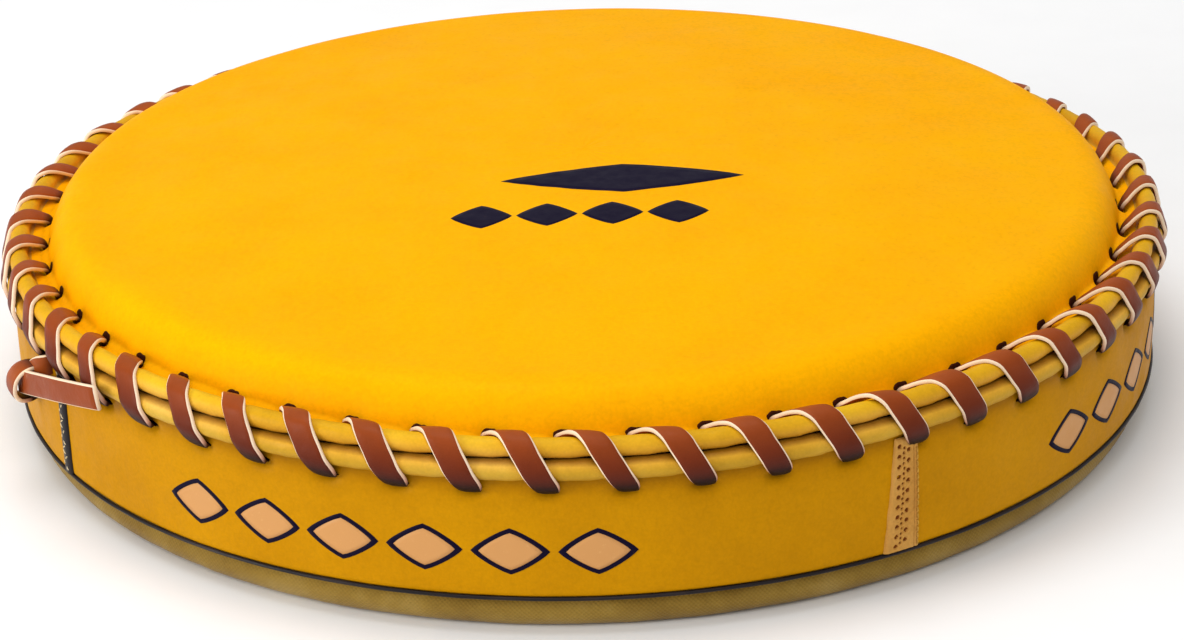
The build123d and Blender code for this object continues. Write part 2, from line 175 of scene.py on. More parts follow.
def mesh_piece(name, verts, faces, materials, picks=None, uvs=None, body="shield"):
    """A smooth mesh from millimetre points. picks gives each face's material, uvs each point's."""
    mesh = bpy.data.meshes.new(name)
    mesh.from_pydata([Vector(v) * MM for v in verts], [], faces)
    for material in materials:
        mesh.materials.append(material)
    if picks:
        mesh.polygons.foreach_set("material_index", picks)
    if uvs:
        layer = mesh.uv_layers.new(name="UVMap")
        for loop in mesh.loops:
            layer.data[loop.index].uv = uvs[loop.vertex_index]
    mesh.polygons.foreach_set("use_smooth", [True] * len(mesh.polygons))
    mesh.update()
    piece = bpy.data.objects.new(name, mesh)
    bpy.context.scene.collection.objects.link(piece)
    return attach(piece, body)


def turned(profile, angles, closed, shape=None):
    """A profile of (radius, height) turned through the angles: points, faces, uvs.

    The profile runs from the middle of the top, outward, down and back in underneath. shape moves
    each point: it takes the angle, the place along the profile, the radius and the height.
    """
    run = [0.0]
    for a, b in zip(profile, profile[1:]):
        run.append(run[-1] + hypot(b[0] - a[0], b[1] - a[1]))
    verts = []
    uvs = []
    for angle in angles:
        for index, (radius, height) in enumerate(profile):
            if shape:
                radius, height = shape(angle, index, radius, height)
            verts.append(rim_point(radius, angle, height))
            uvs.append((radians(angle) * RIM_RADIUS * MM, run[index] * MM))
    deep = len(profile)
    columns = len(angles) if closed else len(angles) - 1
    faces = []
    for column in range(columns):
        here = column * deep
        there = (column + 1) % len(angles) * deep
        for index in range(deep - 1):
            faces.append((here + index, here + index + 1, there + index + 1, there + index))
    return verts, faces, uvs


def flipped(faces):
    return [tuple(reversed(face)) for face in faces]


def whole_turn(count):
    return [360.0 * step / count for step in range(count)]


def turned_piece(name, profile, count, shape, material):
    """A piece that goes all the way round."""
    verts, faces, uvs = turned(profile, whole_turn(count), True, shape)
    return mesh_piece(name, verts, faces, [material], None, uvs)


def plate(rings):
    """Rings of points from the outside in, joined and closed: points and faces."""
    around = len(rings[0])
    faces = [
        (row + step, row + after, row + after + around, row + step + around)
        for row in range(0, (len(rings) - 1) * around, around)
        for step, after in enumerate([*range(1, around), 0])
    ]
    verts = [point for ring in rings for point in ring]
    faces.append(tuple(range(len(verts) - around, len(verts))))
    return verts, faces


def tube(rings):
    """Rings of points joined and closed at both ends: points and faces."""
    verts, faces = plate(rings)
    faces.insert(-1, tuple(reversed(range(len(rings[0])))))
    return verts, faces


def joined(parts):
    """Several (points, faces) as one."""
    verts = []
    faces = []
    for part_verts, part_faces in parts:
        base = len(verts)
        verts.extend(part_verts)
        faces.extend(tuple(base + index for index in face) for face in part_faces)
    return verts, faces


def joined_piece(name, parts, material, body="shield"):
    """Several (points, faces) as one piece."""
    verts, faces = joined(parts)
    return mesh_piece(name, verts, faces, [material], body=body)


def smooth_line(stations, steps):
    """Catmull-Rom values between rows of numbers, steps to each gap."""
    def between(a, b, c, d, t):
        bend = 2 * a - 5 * b + 4 * c - d
        return 0.5 * (2 * b + (c - a) * t + bend * t**2 + (3 * b - a - 3 * c + d) * t**3)

    rows = [stations[0], *stations, stations[-1]]
    found = [
        tuple(between(*values, step / steps) for values in zip(*rows[index - 1 : index + 3]))
        for index in range(1, len(rows) - 2)
        for step in range(steps)
    ]
    return [*found, tuple(stations[-1])]


# ---- materials ----

def rgb(red, green, blue):
    """A screen colour from 0 to 255 as the linear colour that shaders take."""
    def linear(value):
        value /= 255
        return value / 12.92 if value <= 0.04045 else ((value + 0.055) / 1.055) ** 2.4

    return (linear(red), linear(green), linear(blue), 1.0)


class Graph:
    """A material's nodes, with a short call for each kind used here."""

    def __init__(self, name, **sockets):
        self.material = bpy.data.materials.new(name)
        self.material.use_nodes = True
        self.tree = self.material.node_tree
        self.shader = self.tree.nodes["Principled BSDF"]
        coordinates = self.tree.nodes.new("ShaderNodeTexCoord").outputs
        self.place, self.cloth = coordinates["Object"], coordinates["UV"]
        for socket, value in sockets.items():
            self.shader.inputs[socket.replace("_", " ")].default_value = value

    def link(self, source, socket):
        if hasattr(source, "links"):
            self.tree.links.new(source, socket)
        else:
            socket.default_value = source

    def node(self, kind, inputs):
        """A new node with these inputs linked or set."""
        node = self.tree.nodes.new(kind)
        for socket, value in inputs.items():
            self.link(value, node.inputs[socket])
        return node

    def math(self, operation, first, second=0.0, third=0.5):
        node = self.node("ShaderNodeMath", {0: first, 1: second, 2: third})
        node.operation = operation
        return node.outputs[0]

    def texture(self, kind, size, stretch=(1, 1, 1)):
        """A texture node with features of about that size in millimetres."""
        scale = [value / (size * MM) for value in stretch]
        mapping = self.node("ShaderNodeMapping", {"Vector": self.place, "Scale": scale})
        return self.node(kind, {"Vector": mapping.outputs[0], "Scale": 1.0})

    def spots(self, size, detail=3.0, roughness=0.55, stretch=(1, 1, 1)):
        """Soft noise."""
        node = self.texture("ShaderNodeTexNoise", size, stretch)
        node.inputs["Detail"].default_value = detail
        node.inputs["Roughness"].default_value = roughness
        return node.outputs["Fac"]

    def pebbles(self, size):
        """Rounded cells, as in leather's grain."""
        node = self.texture("ShaderNodeTexVoronoi", size)
        node.feature = "SMOOTH_F1"
        return node.outputs["Distance"]

    def ramp(self, value, *stops):
        """Colours or greys along a value: stops are (place, colour or grey)."""
        node = self.node("ShaderNodeValToRGB", {0: value})
        elements = node.color_ramp.elements
        while len(elements) < len(stops):
            elements.new(0.5)
        for element, (place, colour) in zip(elements, stops):
            element.position = place
            element.color = colour if hasattr(colour, "__len__") else (colour, colour, colour, 1)
        return node.outputs[0]

    def multiply(self, share, colour, tint):
        """A share of the way from a colour to that colour times a tint."""
        node = self.tree.nodes.new("ShaderNodeMix")
        node.data_type = "RGBA"
        node.blend_type = "MULTIPLY"
        self.link(share, node.inputs["Factor"])
        self.link(colour, node.inputs[6])
        self.link(tint, node.inputs[7])
        return node.outputs[2]

    def bump(self, height, depth, under=None):
        """A bump of that depth in millimetres."""
        node = self.node("ShaderNodeBump", {"Distance": depth * MM, "Height": height})
        if under:
            self.link(under, node.inputs["Normal"])
        return node.outputs[0]

    def pointiness(self):
        return self.tree.nodes.new("ShaderNodeNewGeometry").outputs["Pointiness"]

    def attribute(self, name):
        node = self.tree.nodes.new("ShaderNodeAttribute")
        node.attribute_name = name
        return node.outputs["Fac"]

    def done(self, colour, roughness=None, normal=None):
        self.link(colour, self.shader.inputs["Base Color"])
        if roughness:
            self.link(roughness, self.shader.inputs["Roughness"])
        if normal:
            self.link(normal, self.shader.inputs["Normal"])
        return self.material


def leather(name, deep, main, worn, grain=0.9, gloss=0.42, depth=0.05, specular=0.3, shades=()):
    """Finished leather: pebbled grain with darker hollows, soft colour change, rubbed high spots,
    painted shade in creases.

    shades are (drawn height in millimetres, colour that multiplies): the leather's own tint by
    height, and painted shade under and between the rolls.
    """
    graph = Graph(name, Specular_IOR_Level=specular)
    clouds = graph.spots(45, 4)
    colour = graph.ramp(clouds, (0.30, deep), (0.50, main), (0.78, worn))
    flecks = graph.ramp(graph.spots(2.4, 5, 0.7), (0.35, 0.88), (0.6, 1.0))
    colour = graph.multiply(0.55, colour, flecks)
    cells = graph.pebbles(grain)
    hollows = graph.ramp(cells, (0.25, 1.0), (0.75, 0.80))
    colour = graph.multiply(0.35, colour, hollows)
    # painted shade: concave places of the mesh, found by pointiness, are darkened as if shadowed
    edges = graph.ramp(graph.pointiness(), (0.46, 0.82), (0.50, 1.0), (0.56, 1.0))
    colour = graph.multiply(0.8, colour, edges)
    if shades:
        drawn = graph.math("DIVIDE", graph.attribute("drawn_height"), 100.0)
        stops = [(height / 100, tint) for height, tint in shades]
        colour = graph.multiply(1.0, colour, graph.ramp(drawn, *stops))
    shine = graph.ramp(graph.spots(14, 4, 0.6), (0.3, gloss - 0.07), (0.7, gloss + 0.13))
    height = graph.math("SUBTRACT", 1.0, cells)
    normal = graph.bump(height, depth)
    normal = graph.bump(graph.spots(5.5, 5, 0.6), depth * 2.2, normal)
    normal = graph.bump(graph.spots(0.35, 2), depth * 0.35, normal)
    return graph.done(colour, shine, normal)


def lace_leather(name, stops, grain=0.14):
    """Lace leather: smooth, with long faint grain, and painted shade darkening it where it goes into
    its holes.
    """
    graph = Graph(name, Specular_IOR_Level=0.10)
    along = graph.attribute("along")
    colour = graph.ramp(along, *stops)
    streaks = graph.ramp(graph.spots(7.0, 4, 0.6), (0.3, 0.86), (0.6, 1.0))
    colour = graph.multiply(0.6, colour, streaks)
    shine = graph.ramp(graph.spots(6, 4), (0.3, 0.36), (0.7, 0.52))
    normal = graph.bump(graph.pebbles(0.6), 0.02)
    normal = graph.bump(graph.spots(2.6, 4, 0.6), grain, normal)
    return graph.done(colour, shine, normal)


WEAVE_DEPTH = 0.12


def woven(name, deep, main, worn, thread=0.75):
    """A plain weave, with threads of that width in millimetres laid along the piece's uvs."""
    graph = Graph(name, Specular_IOR_Level=0.12, Sheen_Weight=0.15, Sheen_Roughness=0.5)
    split = graph.tree.nodes.new("ShaderNodeSeparateXYZ")
    graph.link(graph.cloth, split.inputs[0])
    turn = pi / (thread * MM)
    across = graph.math("SINE", graph.math("MULTIPLY", split.outputs[0], turn))
    along = graph.math("SINE", graph.math("MULTIPLY", split.outputs[1], turn))
    weave = graph.math("MULTIPLY_ADD", graph.math("MULTIPLY", across, along), 0.5, 0.5)
    colour = graph.ramp(graph.spots(30, 5, 0.6), (0.3, deep), (0.55, main), (0.85, worn))
    shade = graph.ramp(weave, (0.0, 0.72), (1.0, 1.0))
    colour = graph.multiply(0.7, colour, shade)
    fuzz = graph.ramp(graph.spots(1.1, 6, 0.75), (0.35, 0.78), (0.7, 1.0))
    colour = graph.multiply(0.5, colour, fuzz)
    normal = graph.bump(weave, WEAVE_DEPTH)
    normal = graph.bump(graph.spots(0.5, 4, 0.7), WEAVE_DEPTH * 0.8, normal)
    shine = graph.ramp(weave, (0.0, 0.95), (1.0, 0.78))
    return graph.done(colour, shine, normal)


def metal(name, tint, gloss):
    """Plated steel: fine brushing, faint smears and rubbed patches."""
    graph = Graph(name, Metallic=1.0)
    smears = graph.spots(9, 5, 0.6)
    colour = graph.ramp(smears, (0.3, [value * 0.72 for value in tint[:3]] + [1]), (0.6, tint))
    shine = graph.ramp(graph.spots(1.4, 4, 0.7), (0.35, gloss), (0.75, gloss + 0.16))
    normal = graph.bump(graph.spots(0.5, 3, 0.6, stretch=(1, 0.12, 1)), 0.008)
    return graph.done(colour, shine, normal)


def foam(name, main, dark):
    """Open-cell foam: a fine froth."""
    graph = Graph(name, Specular_IOR_Level=0.1, Roughness=0.95)
    cells = graph.pebbles(1.1)
    colour = graph.ramp(cells, (0.2, dark), (0.7, main))
    return graph.done(colour, None, graph.bump(cells, 0.3))


def timber(name):
    """Birch ply: long soft grain."""
    graph = Graph(name, Specular_IOR_Level=0.25)
    grain = graph.spots(3.0, 6, 0.65, stretch=(0.06, 1, 1))
    colour = graph.ramp(grain, (0.3, rgb(172, 128, 80)), (0.65, rgb(216, 180, 130)))
    return graph.done(colour, graph.ramp(grain, (0.3, 0.6), (0.7, 0.75)), graph.bump(grain, 0.06))


def thread(name, main, dark):
    """Twisted sewing thread."""
    graph = Graph(name, Specular_IOR_Level=0.3, Roughness=0.7)
    twist = graph.spots(0.4, 3, 0.6)
    return graph.done(graph.ramp(twist, (0.3, dark), (0.65, main)), None, graph.bump(twist, 0.06))


def printed(name, main, worn, depth=0.02, specular=0.25):
    """Ink or foil on leather, also used for painted shade in holes: even, with the leather's grain
    through it and small rubbed spots.
    """
    graph = Graph(name, Specular_IOR_Level=specular)
    rubbed = graph.ramp(graph.spots(1.8, 6, 0.75), (0.60, main), (0.78, worn))
    shine = graph.ramp(graph.spots(5, 3), (0.3, 0.38), (0.7, 0.55))
    return graph.done(rubbed, shine, graph.bump(graph.pebbles(0.9), depth))


FACE_LEATHER = leather(
    "face_leather", rgb(252, 172, 0), rgb(255, 177, 0), rgb(255, 181, 0), 1.0, 0.50, 0.03, 0.02
)
# by drawn height: the olive of the lower roll and the yellow on top of the upper roll are the
# leather's own colour; the dark at the foot of the lower roll and in the crease between the rolls is
# painted shade
ROLL_TINT_AND_PAINTED_SHADE = (
    (52.8, (0.50, 0.46, 0.40, 1)), (54.4, (0.72, 0.74, 0.62, 1)), (56.5, (0.8, 0.84, 0.66, 1)),
    (58.6, (1.0, 0.98, 1.0, 1)), (59.7, (0.5, 0.4, 0.35, 1)), (60.6, (0.62, 0.52, 0.5, 1)),
    (61.8, (0.85, 0.76, 0.6, 1)), (63.6, (1.0, 0.95, 0.6, 1)), (66.0, (1.0, 1.0, 0.15, 1)),
)
ROLL_LEATHER = leather(
    "roll_leather", rgb(208, 154, 34), rgb(226, 170, 50), rgb(236, 190, 84),
    0.8, 0.45, 0.06, 0.12, ROLL_TINT_AND_PAINTED_SHADE,
)
# painted shade: the side leather darkens towards the lower roll, as the shadow under its overhang
SIDE_PAINTED_SHADE = ((42.0, 1.0), (48.0, (0.93, 0.92, 0.9, 1)), (51.8, (0.72, 0.68, 0.6, 1)))
SIDE_LEATHER = leather(
    "side_leather", rgb(190, 130, 0), rgb(200, 138, 0), rgb(208, 146, 0),
    0.9, 0.46, 0.05, 0.04, SIDE_PAINTED_SHADE,
)
STRIP_LEATHER = leather(
    "strip_leather", rgb(178, 118, 42), rgb(204, 148, 68), rgb(222, 174, 100), 0.7, 0.6, 0.10, 0.10
)
GRIP_LEATHER = leather(
    "grip_leather", rgb(92, 42, 18), rgb(128, 60, 26), rgb(158, 84, 42), 1.1, 0.42, 0.10, 0.4
)
PATCH_LEATHER = leather(
    "patch_leather", rgb(84, 40, 18), rgb(112, 54, 26), rgb(140, 74, 38), 1.0, 0.5, 0.09, 0.35
)
CUT_LEATHER = leather(
    "cut_leather", rgb(120, 72, 44), rgb(150, 96, 62), rgb(176, 122, 84), 0.5, 0.7, 0.08, 0.15
)
PIPING_LEATHER = leather(
    "piping_leather", rgb(14, 8, 10), rgb(24, 15, 18), rgb(58, 44, 40), 0.6, 0.42, 0.05, 0.25
)
# along its length: the lace's own brown, with painted shade darkening both ends where it goes into
# its holes
LACE_TOP = lace_leather(
    "lace_top",
    (
        (0.06, rgb(40, 18, 12)), (0.14, rgb(84, 38, 18)), (0.22, rgb(146, 68, 24)),
        (0.36, rgb(162, 78, 28)), (0.52, rgb(142, 62, 22)), (0.64, rgb(116, 46, 18)),
        (0.74, rgb(90, 34, 18)), (0.81, rgb(50, 20, 14)), (0.88, rgb(22, 10, 10)),
    ),
)
# the pale cut edges are the leather's own colour; their dark ends are painted shade where the lace
# goes into its holes
LACE_EDGE = lace_leather(
    "lace_edge",
    (
        (0.08, rgb(60, 28, 18)), (0.20, rgb(240, 214, 180)), (0.70, rgb(246, 222, 194)),
        (0.82, rgb(204, 156, 132)), (0.90, rgb(50, 26, 22)),
    ),
    0.05,
)
KHAKI_CLOTH = woven("khaki_cloth", rgb(134, 102, 34), rgb(160, 128, 52), rgb(186, 156, 86))
BACK_CANVAS = woven("back_canvas", rgb(112, 100, 58), rgb(140, 128, 80), rgb(160, 148, 98), 0.9)
CORD_COTTON = woven("cord_cotton", rgb(186, 176, 150), rgb(214, 204, 178), rgb(228, 220, 198))
GREY_FOAM = foam("grey_foam", rgb(110, 112, 118), rgb(62, 64, 70))
BIRCH_BOARD = timber("birch_board")
RING_STEEL = metal("ring_steel", (0.78, 0.77, 0.74, 1), 0.16)
RIVET_STEEL = metal("rivet_steel", (0.70, 0.68, 0.62, 1), 0.26)
PALE_THREAD = thread("pale_thread", rgb(232, 216, 176), rgb(190, 170, 126))
GOLD_THREAD = thread("gold_thread", rgb(214, 166, 62), rgb(160, 112, 30))
NAVY_INK = printed("navy_ink", rgb(14, 6, 34), rgb(48, 32, 44), 0.02, 0.06)
TAN_INK = printed("tan_ink", rgb(206, 148, 86), rgb(218, 166, 104))
# painted shade: the dark inside of each punched hole in the strips
PUNCH_PAINTED_SHADE = printed("punch_painted_shade", rgb(128, 70, 28), rgb(144, 84, 36), 0.02, 0.02)
# painted shade: the dark mouths of the lace holes in the face
HOLE_SHADE = printed("hole_shade", rgb(62, 26, 14), rgb(88, 42, 18), 0.05, 0.02)


# ---- the struck face ----

SHOULDER_CENTRE = on_circle(GROOVE_START, -SHOULDER_RADIUS, 90 - SHOULDER_TO)
SHOULDER_TOP = on_circle(SHOULDER_CENTRE, SHOULDER_RADIUS, 90 - SHOULDER_FROM)
CROWN_RADIUS = SHOULDER_TOP[0] / sin(radians(SHOULDER_FROM))
CROWN_CENTRE = (0.0, SHOULDER_TOP[1] - CROWN_RADIUS * cos(radians(SHOULDER_FROM)))


def crown_height(radius):
    """Height of the drawn crown at a radius."""
    if radius <= SHOULDER_TOP[0]:
        return CROWN_CENTRE[1] + sqrt(CROWN_RADIUS**2 - radius**2)
    return SHOULDER_CENTRE[1] + sqrt(SHOULDER_RADIUS**2 - (radius - SHOULDER_CENTRE[0]) ** 2)


PRESSURE = 4.0
CLOTH_FRAMES = 20


def inflate(piece, held, cap):
    """Blow a piece out by cloth simulation with some points held, and keep the result."""
    group = piece.vertex_groups.new(name="held")
    group.add(held, 1.0, "REPLACE")
    cloth = piece.modifiers.new("inflate", "CLOTH")
    cloth.settings.use_pressure = True
    cloth.settings.uniform_pressure_force = PRESSURE
    cloth.settings.effector_weights.gravity = 0
    cloth.settings.vertex_group_mass = "held"
    cloth.collision_settings.use_collision = False
    scene = bpy.context.scene
    for step in range(1, CLOTH_FRAMES + 1):
        scene.frame_set(step)
    blown = piece.evaluated_get(bpy.context.evaluated_depsgraph_get())
    found = [vertex.co.copy() for vertex in blown.data.vertices]
    piece.modifiers.remove(cloth)
    piece.vertex_groups.remove(group)
    scene.frame_set(1)
    limit = cap * MM
    for vertex, place in zip(piece.data.vertices, found):
        move = place - vertex.co
        if move.length > 1e-9:
            vertex.co += move.normalized() * limit * tanh(move.length / limit)


# The face leather is blown out over its foam on a coarse disc, and the fine mesh takes its swell.
SWELL_COLUMNS = 106
SWELL_EDGE = 180.0
SWELL_RADII = [SWELL_EDGE * step / 26 for step in range(1, 27)]
FACE_BASE = 62.0  # the simulated leather starts a little lower over this height
SLACK = 0.95


def face_swell():
    """How far the simulated leather stands from the drawn crown, as a function of place."""
    def slack_height(radius):
        return FACE_BASE + (crown_height(radius) - FACE_BASE) * SLACK

    start = [(radius, slack_height(radius)) for radius in SWELL_RADII]
    verts, faces, _ = turned(start, whole_turn(SWELL_COLUMNS), True)
    deep = len(start)
    verts.append(Vector((0, 0, slack_height(0))))
    top = len(verts) - 1
    for column in range(SWELL_COLUMNS):
        faces.append((top, column * deep, (column + 1) % SWELL_COLUMNS * deep))
    trial = mesh_piece("face_trial", verts, faces, [FACE_LEATHER])
    held = [
        index for index, vertex in enumerate(trial.data.vertices)
        if hypot(vertex.co.x, vertex.co.y) > 170 * MM
    ]
    inflate(trial, held, 2.0)
    heights = [vertex.co.z / MM for vertex in trial.data.vertices]
    bpy.data.objects.remove(trial)

    def swell(angle, radius):
        place = min(radius / SWELL_RADII[0] - 1, deep - 1.001)
        if place < 0:
            return heights[top] - crown_height(0)
        column = angle / 360 * SWELL_COLUMNS % SWELL_COLUMNS
        row, side = floor(place), floor(column)
        down, across = place - row, column - side
        total = 0.0
        for step, share in ((0, 1 - across), (1, across)):
            first = (side + step) % SWELL_COLUMNS * deep + row
            total += share * (heights[first] * (1 - down) + heights[first + 1] * down)
        fade = 1 - bell(SWELL_EDGE - radius, 16) if radius < SWELL_EDGE else 0.0
        return (total - crown_height(radius)) * fade

    return swell


swell = face_swell()
FACE_COLUMNS = LACE_COUNT * COLUMNS_PER_STITCH
FACE_RADII = [0.5, *[SHOULDER_TOP[0] * step / 30 for step in range(1, 31)]]
SHOULDER_POINTS = arc(SHOULDER_CENTRE, SHOULDER_RADIUS, 90 - SHOULDER_FROM, 90 - SHOULDER_TO, 20)
CROWN_POINTS = len(FACE_RADII) + len(SHOULDER_POINTS) - 1
UPPER_CROSSING = 0.40  # phase where a stitch crosses the upper roll
LOWER_CROSSING = 0.68
SIDE_HOLE = LACE_SLANT / LACE_PITCH
HOLE_DEPTH = 3.2
FULLER_AT, FULLER_BY = 179.5, 1.3  # the shoulder beside the rim is blown out fuller than drawn
SAG_FROM, SAG_OVER = 182.5, 5.5  # radii over which the face comes down to the sagging rim
ROLL_INSIDE = 193.5


def crown_rise(angle, radius):
    """How far the leather stands above the drawn crown."""
    return swell(angle, radius) + 0.10 * rough(radius / 30, angle / 9)


def face_point(angle, index, radius, height):
    """The crown with its swell, the pull of the lace at each hole, and the puckered roll."""
    around = from_phase(angle, 0.0)
    if index < CROWN_POINTS:
        height += crown_rise(angle, radius)
        full = FULLER_BY * bell(radius - FULLER_AT, 5.5)
        radius += 0.6 * full
        height += 0.8 * full
    if radius < ROLL_INSIDE:
        pull = bell(around + 1.5, 6.5) * bell(radius - HOLE_RING, 4.2)
        pit = bell(around, 3.1) * bell(radius - HOLE_RING, 1.7)
        folds = sin(around * 1.9) * bell(around, 7) * bell(radius - 184.5, 4.5)
        sag = rim_sag(angle) * clamped((radius - SAG_FROM) / SAG_OVER)
        return radius, height - sag - 0.9 * pull - HOLE_DEPTH * pit - 0.16 * folds
    crossing = from_phase(angle, UPPER_CROSSING)
    pinch = 1 - 0.13 * bell(crossing, 4.6)
    pinch += 0.035 * bell(abs(crossing) - 7.0, 2.6)
    pinch += 0.045 * rough(angle * 1.3, index * 0.35) * bell(abs(crossing) - 5, 5)
    pinch += 0.02 * rough(angle * 4.5, index * 0.5, 7)
    radius = FACE_ROLL[0] + (radius - FACE_ROLL[0]) * pinch
    return radius, FACE_ROLL[1] + (height - FACE_ROLL[1]) * pinch - rim_sag(angle)


face_profile = [(radius, crown_height(radius)) for radius in FACE_RADII]
face_profile += SHOULDER_POINTS[1:] + line(GROOVE_START, GROOVE, 5)
face_profile += line(GROOVE, (193.9, 62.3), 5)
roll_begins = len(face_profile)
face_profile += arc(FACE_ROLL, FACE_ROLL_SIZE, 176, -48, 22) + [(198.2, 61.4)]
verts, faces, uvs = turned(face_profile, whole_turn(FACE_COLUMNS), True, face_point)
deep = len(face_profile)
picks = [1 if index % (deep - 1) >= roll_begins - 2 else 0 for index in range(len(faces))]
faces.append(tuple(column * deep for column in range(FACE_COLUMNS)))
picks.append(0)
face = mesh_piece(
    "laced_face", verts, faces, [FACE_LEATHER, ROLL_LEATHER], picks, uvs
)
mark(face, "drawn_height", [height for _ in range(FACE_COLUMNS) for _, height in face_profile])
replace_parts(face, "face_panel")


# ---- the side ----

def wall_swell(angle, height):
    """How far the side leather stands out between its edges."""
    share = (height - SIDE_BOTTOM) / (53 - SIDE_BOTTOM)
    bow = 0.35 * max(0.0, sin(pi * clamped(share)))
    return bow + 0.22 * rough(angle / 7, height / 25) + 0.08 * rough(angle / 2, height / 8, 3)


SIDE_STEP = LACE_PITCH / COLUMNS_PER_STITCH
WALL_SAG_FROM = 42.0
side_profile = [(196.9, 58.6), *arc(SIDE_ROLL, SIDE_ROLL_SIZE, 124, -66, 20), (199.75, 52.9)]
wall_begins = len(side_profile) - 1
side_profile += line((199.95, 52.2), (200.0, 43.0), 8) + line((200.0, 43.0), (200.0, 15.0), 18)
side_profile += [(199.9, 14.1), (199.5, 13.5), (198.4, 13.4)]


def side_panel(side, start, end):
    """One leather panel of the side, with the lower roll along its top edge."""
    piped_start = start in PIPED_SEAMS.values()
    ends = (0.24, 0.05) if piped_start else (0.05, 0.24)
    first, last = start + ends[0], end - ends[1]
    count = ceil((last - first) / SIDE_STEP)
    angles = [first + (last - first) * step / count for step in range(count + 1)]
    turned_in = [first + 0.01, first + 0.16, first + 0.34]
    angles = turned_in + angles[1:-1] + [last - (value - first) for value in reversed(turned_in)]

    def shape(angle, index, radius, height):
        edge = min(angle - first, last - angle) * radians(1) * RIM_RADIUS
        if index < wall_begins:
            crossing = from_phase(angle, LOWER_CROSSING)
            pinch = 1 - 0.13 * bell(crossing, 5.0) + 0.04 * bell(abs(crossing) - 8.0, 2.6)
            pinch += 0.045 * rough(angle * 1.2, index * 0.3, 11) * bell(abs(crossing) - 5, 5)
            pinch += 0.02 * rough(angle * 4.0, index * 0.5, 17)
            radius = SIDE_ROLL[0] + (radius - SIDE_ROLL[0]) * pinch
            height = SIDE_ROLL[1] + (height - SIDE_ROLL[1]) * pinch - rim_sag(angle)
        else:
            around = from_phase(angle, SIDE_HOLE)
            pull = bell(around, 6.5) * bell(height - SIDE_HOLE_Z, 4.2)
            pit = bell(around, 3.6) * bell(height - SIDE_HOLE_Z + 0.3, 1.5)
            folds = sin((around + (50 - height) * 0.7) * 1.3) * bell(around, 8)
            folds *= bell(height - 46.0, 3.5)
            radius += wall_swell(angle, height) - 0.7 * pull - 2.8 * pit + 0.13 * folds
            height -= rim_sag(angle) * clamped((height - WALL_SAG_FROM) / 10.2)
        radius -= (0.6 if index < wall_begins else 2.4) * bell(edge, 0.55)
        return radius, height

    verts, faces, uvs = turned(side_profile, angles, False, shape)
    deep = len(side_profile)
    picks = [0 if index % (deep - 1) >= wall_begins - 1 else 1 for index in range(len(faces))]
    panel = mesh_piece(
        f"side_{side}", verts, faces, [SIDE_LEATHER, ROLL_LEATHER], picks, uvs
    )
    mark(panel, "drawn_height", [height for _ in angles for _, height in side_profile])
    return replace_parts(panel, f"side_panel_{side}")


for side, (start, end) in SIDE_PANELS.items():
    side_panel(side, start, end)


def roll_filler(name, node, centre, size):
    """The cord inside a roll, which follows the rim where it lies lower."""
    def shape(angle, index, radius, height):
        return radius, height - rim_sag(angle)

    filler = turned_piece(name, arc(centre, size, 360, 0, 13), 240, shape, CORD_COTTON)
    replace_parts(filler, node)


roll_filler("upper_roll_filler", "face_rim_cord", FACE_ROLL, FACE_ROLL_SIZE - 1.45)
roll_filler("lower_roll_filler", "band_rim_cord", SIDE_ROLL, SIDE_ROLL_SIZE - 1.45)


# ---- lacing ----

# radius, height, heading in that plane, width, share of the slant
STITCH = (
    (188.2, 59.5, 78, 5.0, 0.0),
    (188.5, 61.6, 70, 5.4, 0.0),
    (189.4, 63.1, 45, 6.4, 0.06),
    (191.0, 64.3, 38, 7.6, 0.15),
    (193.0, 65.8, 34, 8.8, 0.27),
    (195.2, 66.9, 18, 9.5, 0.38),
    (197.4, 67.2, -8, 9.7, 0.48),
    (200.2, 66.0, -42, 9.7, 0.58),
    (201.5, 63.1, -76, 9.6, 0.67),
    (202.4, 59.9, -78, 9.6, 0.76),
    (203.3, 56.6, -92, 9.5, 0.85),
    (202.5, 53.4, -112, 9.2, 0.93),
    (201.6, 51.5, -120, 8.2, 0.97),
    (200.2, 50.0, -150, 6.4, 1.0),
    (197.4, 49.4, 180, 5.6, 1.0),
)
LACE_THICKNESS = 1.5


def ribbon_section(centre, wide, thick, width, crown, thickness):
    """Points round a flat lace or strap with softened corners and a slightly rounded top."""
    half, flat = width / 2, thickness / 2
    outline = [
        (-half * 0.98, -flat * 0.7), (-half * 0.9, -flat), (half * 0.9, -flat),
        (half * 0.98, -flat * 0.7), (half, flat * 0.35), (half * 0.90, flat * 0.92),
        (half * 0.5, flat + crown), (0.0, flat + crown * 1.25), (-half * 0.5, flat + crown),
        (-half * 0.90, flat * 0.92), (-half, flat * 0.35),
    ]
    return [centre + wide * x + thick * y for x, y in outline]


EDGE_FACES = (2, 3, 4, 9, 10)  # the faces round a section that are the lace's cut sides


def ribbon(rows, frame_of, crown, thickness=LACE_THICKNESS):
    """One lace: points, faces, the share of its length at each point, and which faces are cut."""
    sections = [ribbon_section(*frame_of(row), crown, thickness) for row in rows]
    verts, faces = tube(sections)
    around = len(sections[0])
    along = [step / (len(rows) - 1) for step in range(len(rows)) for _ in range(around)]
    picks = [1 if step in EDGE_FACES else 0 for _ in rows[1:] for step in range(around)]
    return verts, faces, along, [*picks, 1, 1]


def lace_frame(angle, heading):
    """Forward, across and off the surface for a lace that heads so far above the outward radius."""
    forward = rim_point(1, angle, 0) * cos(radians(heading))
    forward += Vector((0, 0, sin(radians(heading))))
    wide = rim_point(1, angle + 90, 0)
    return forward, wide, forward.cross(wide)


def lace_piece(name, laces, node):
    """All the laces of a node as one mesh, with each point's share of its lace's length."""
    verts, faces = joined([(lace[0], lace[1]) for lace in laces])
    along = [share for lace in laces for share in lace[2]]
    picks = [pick for lace in laces for pick in lace[3]]
    piece = mesh_piece(name, verts, faces, [LACE_TOP, LACE_EDGE], picks)
    mark(piece, "along", along)
    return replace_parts(piece, node)


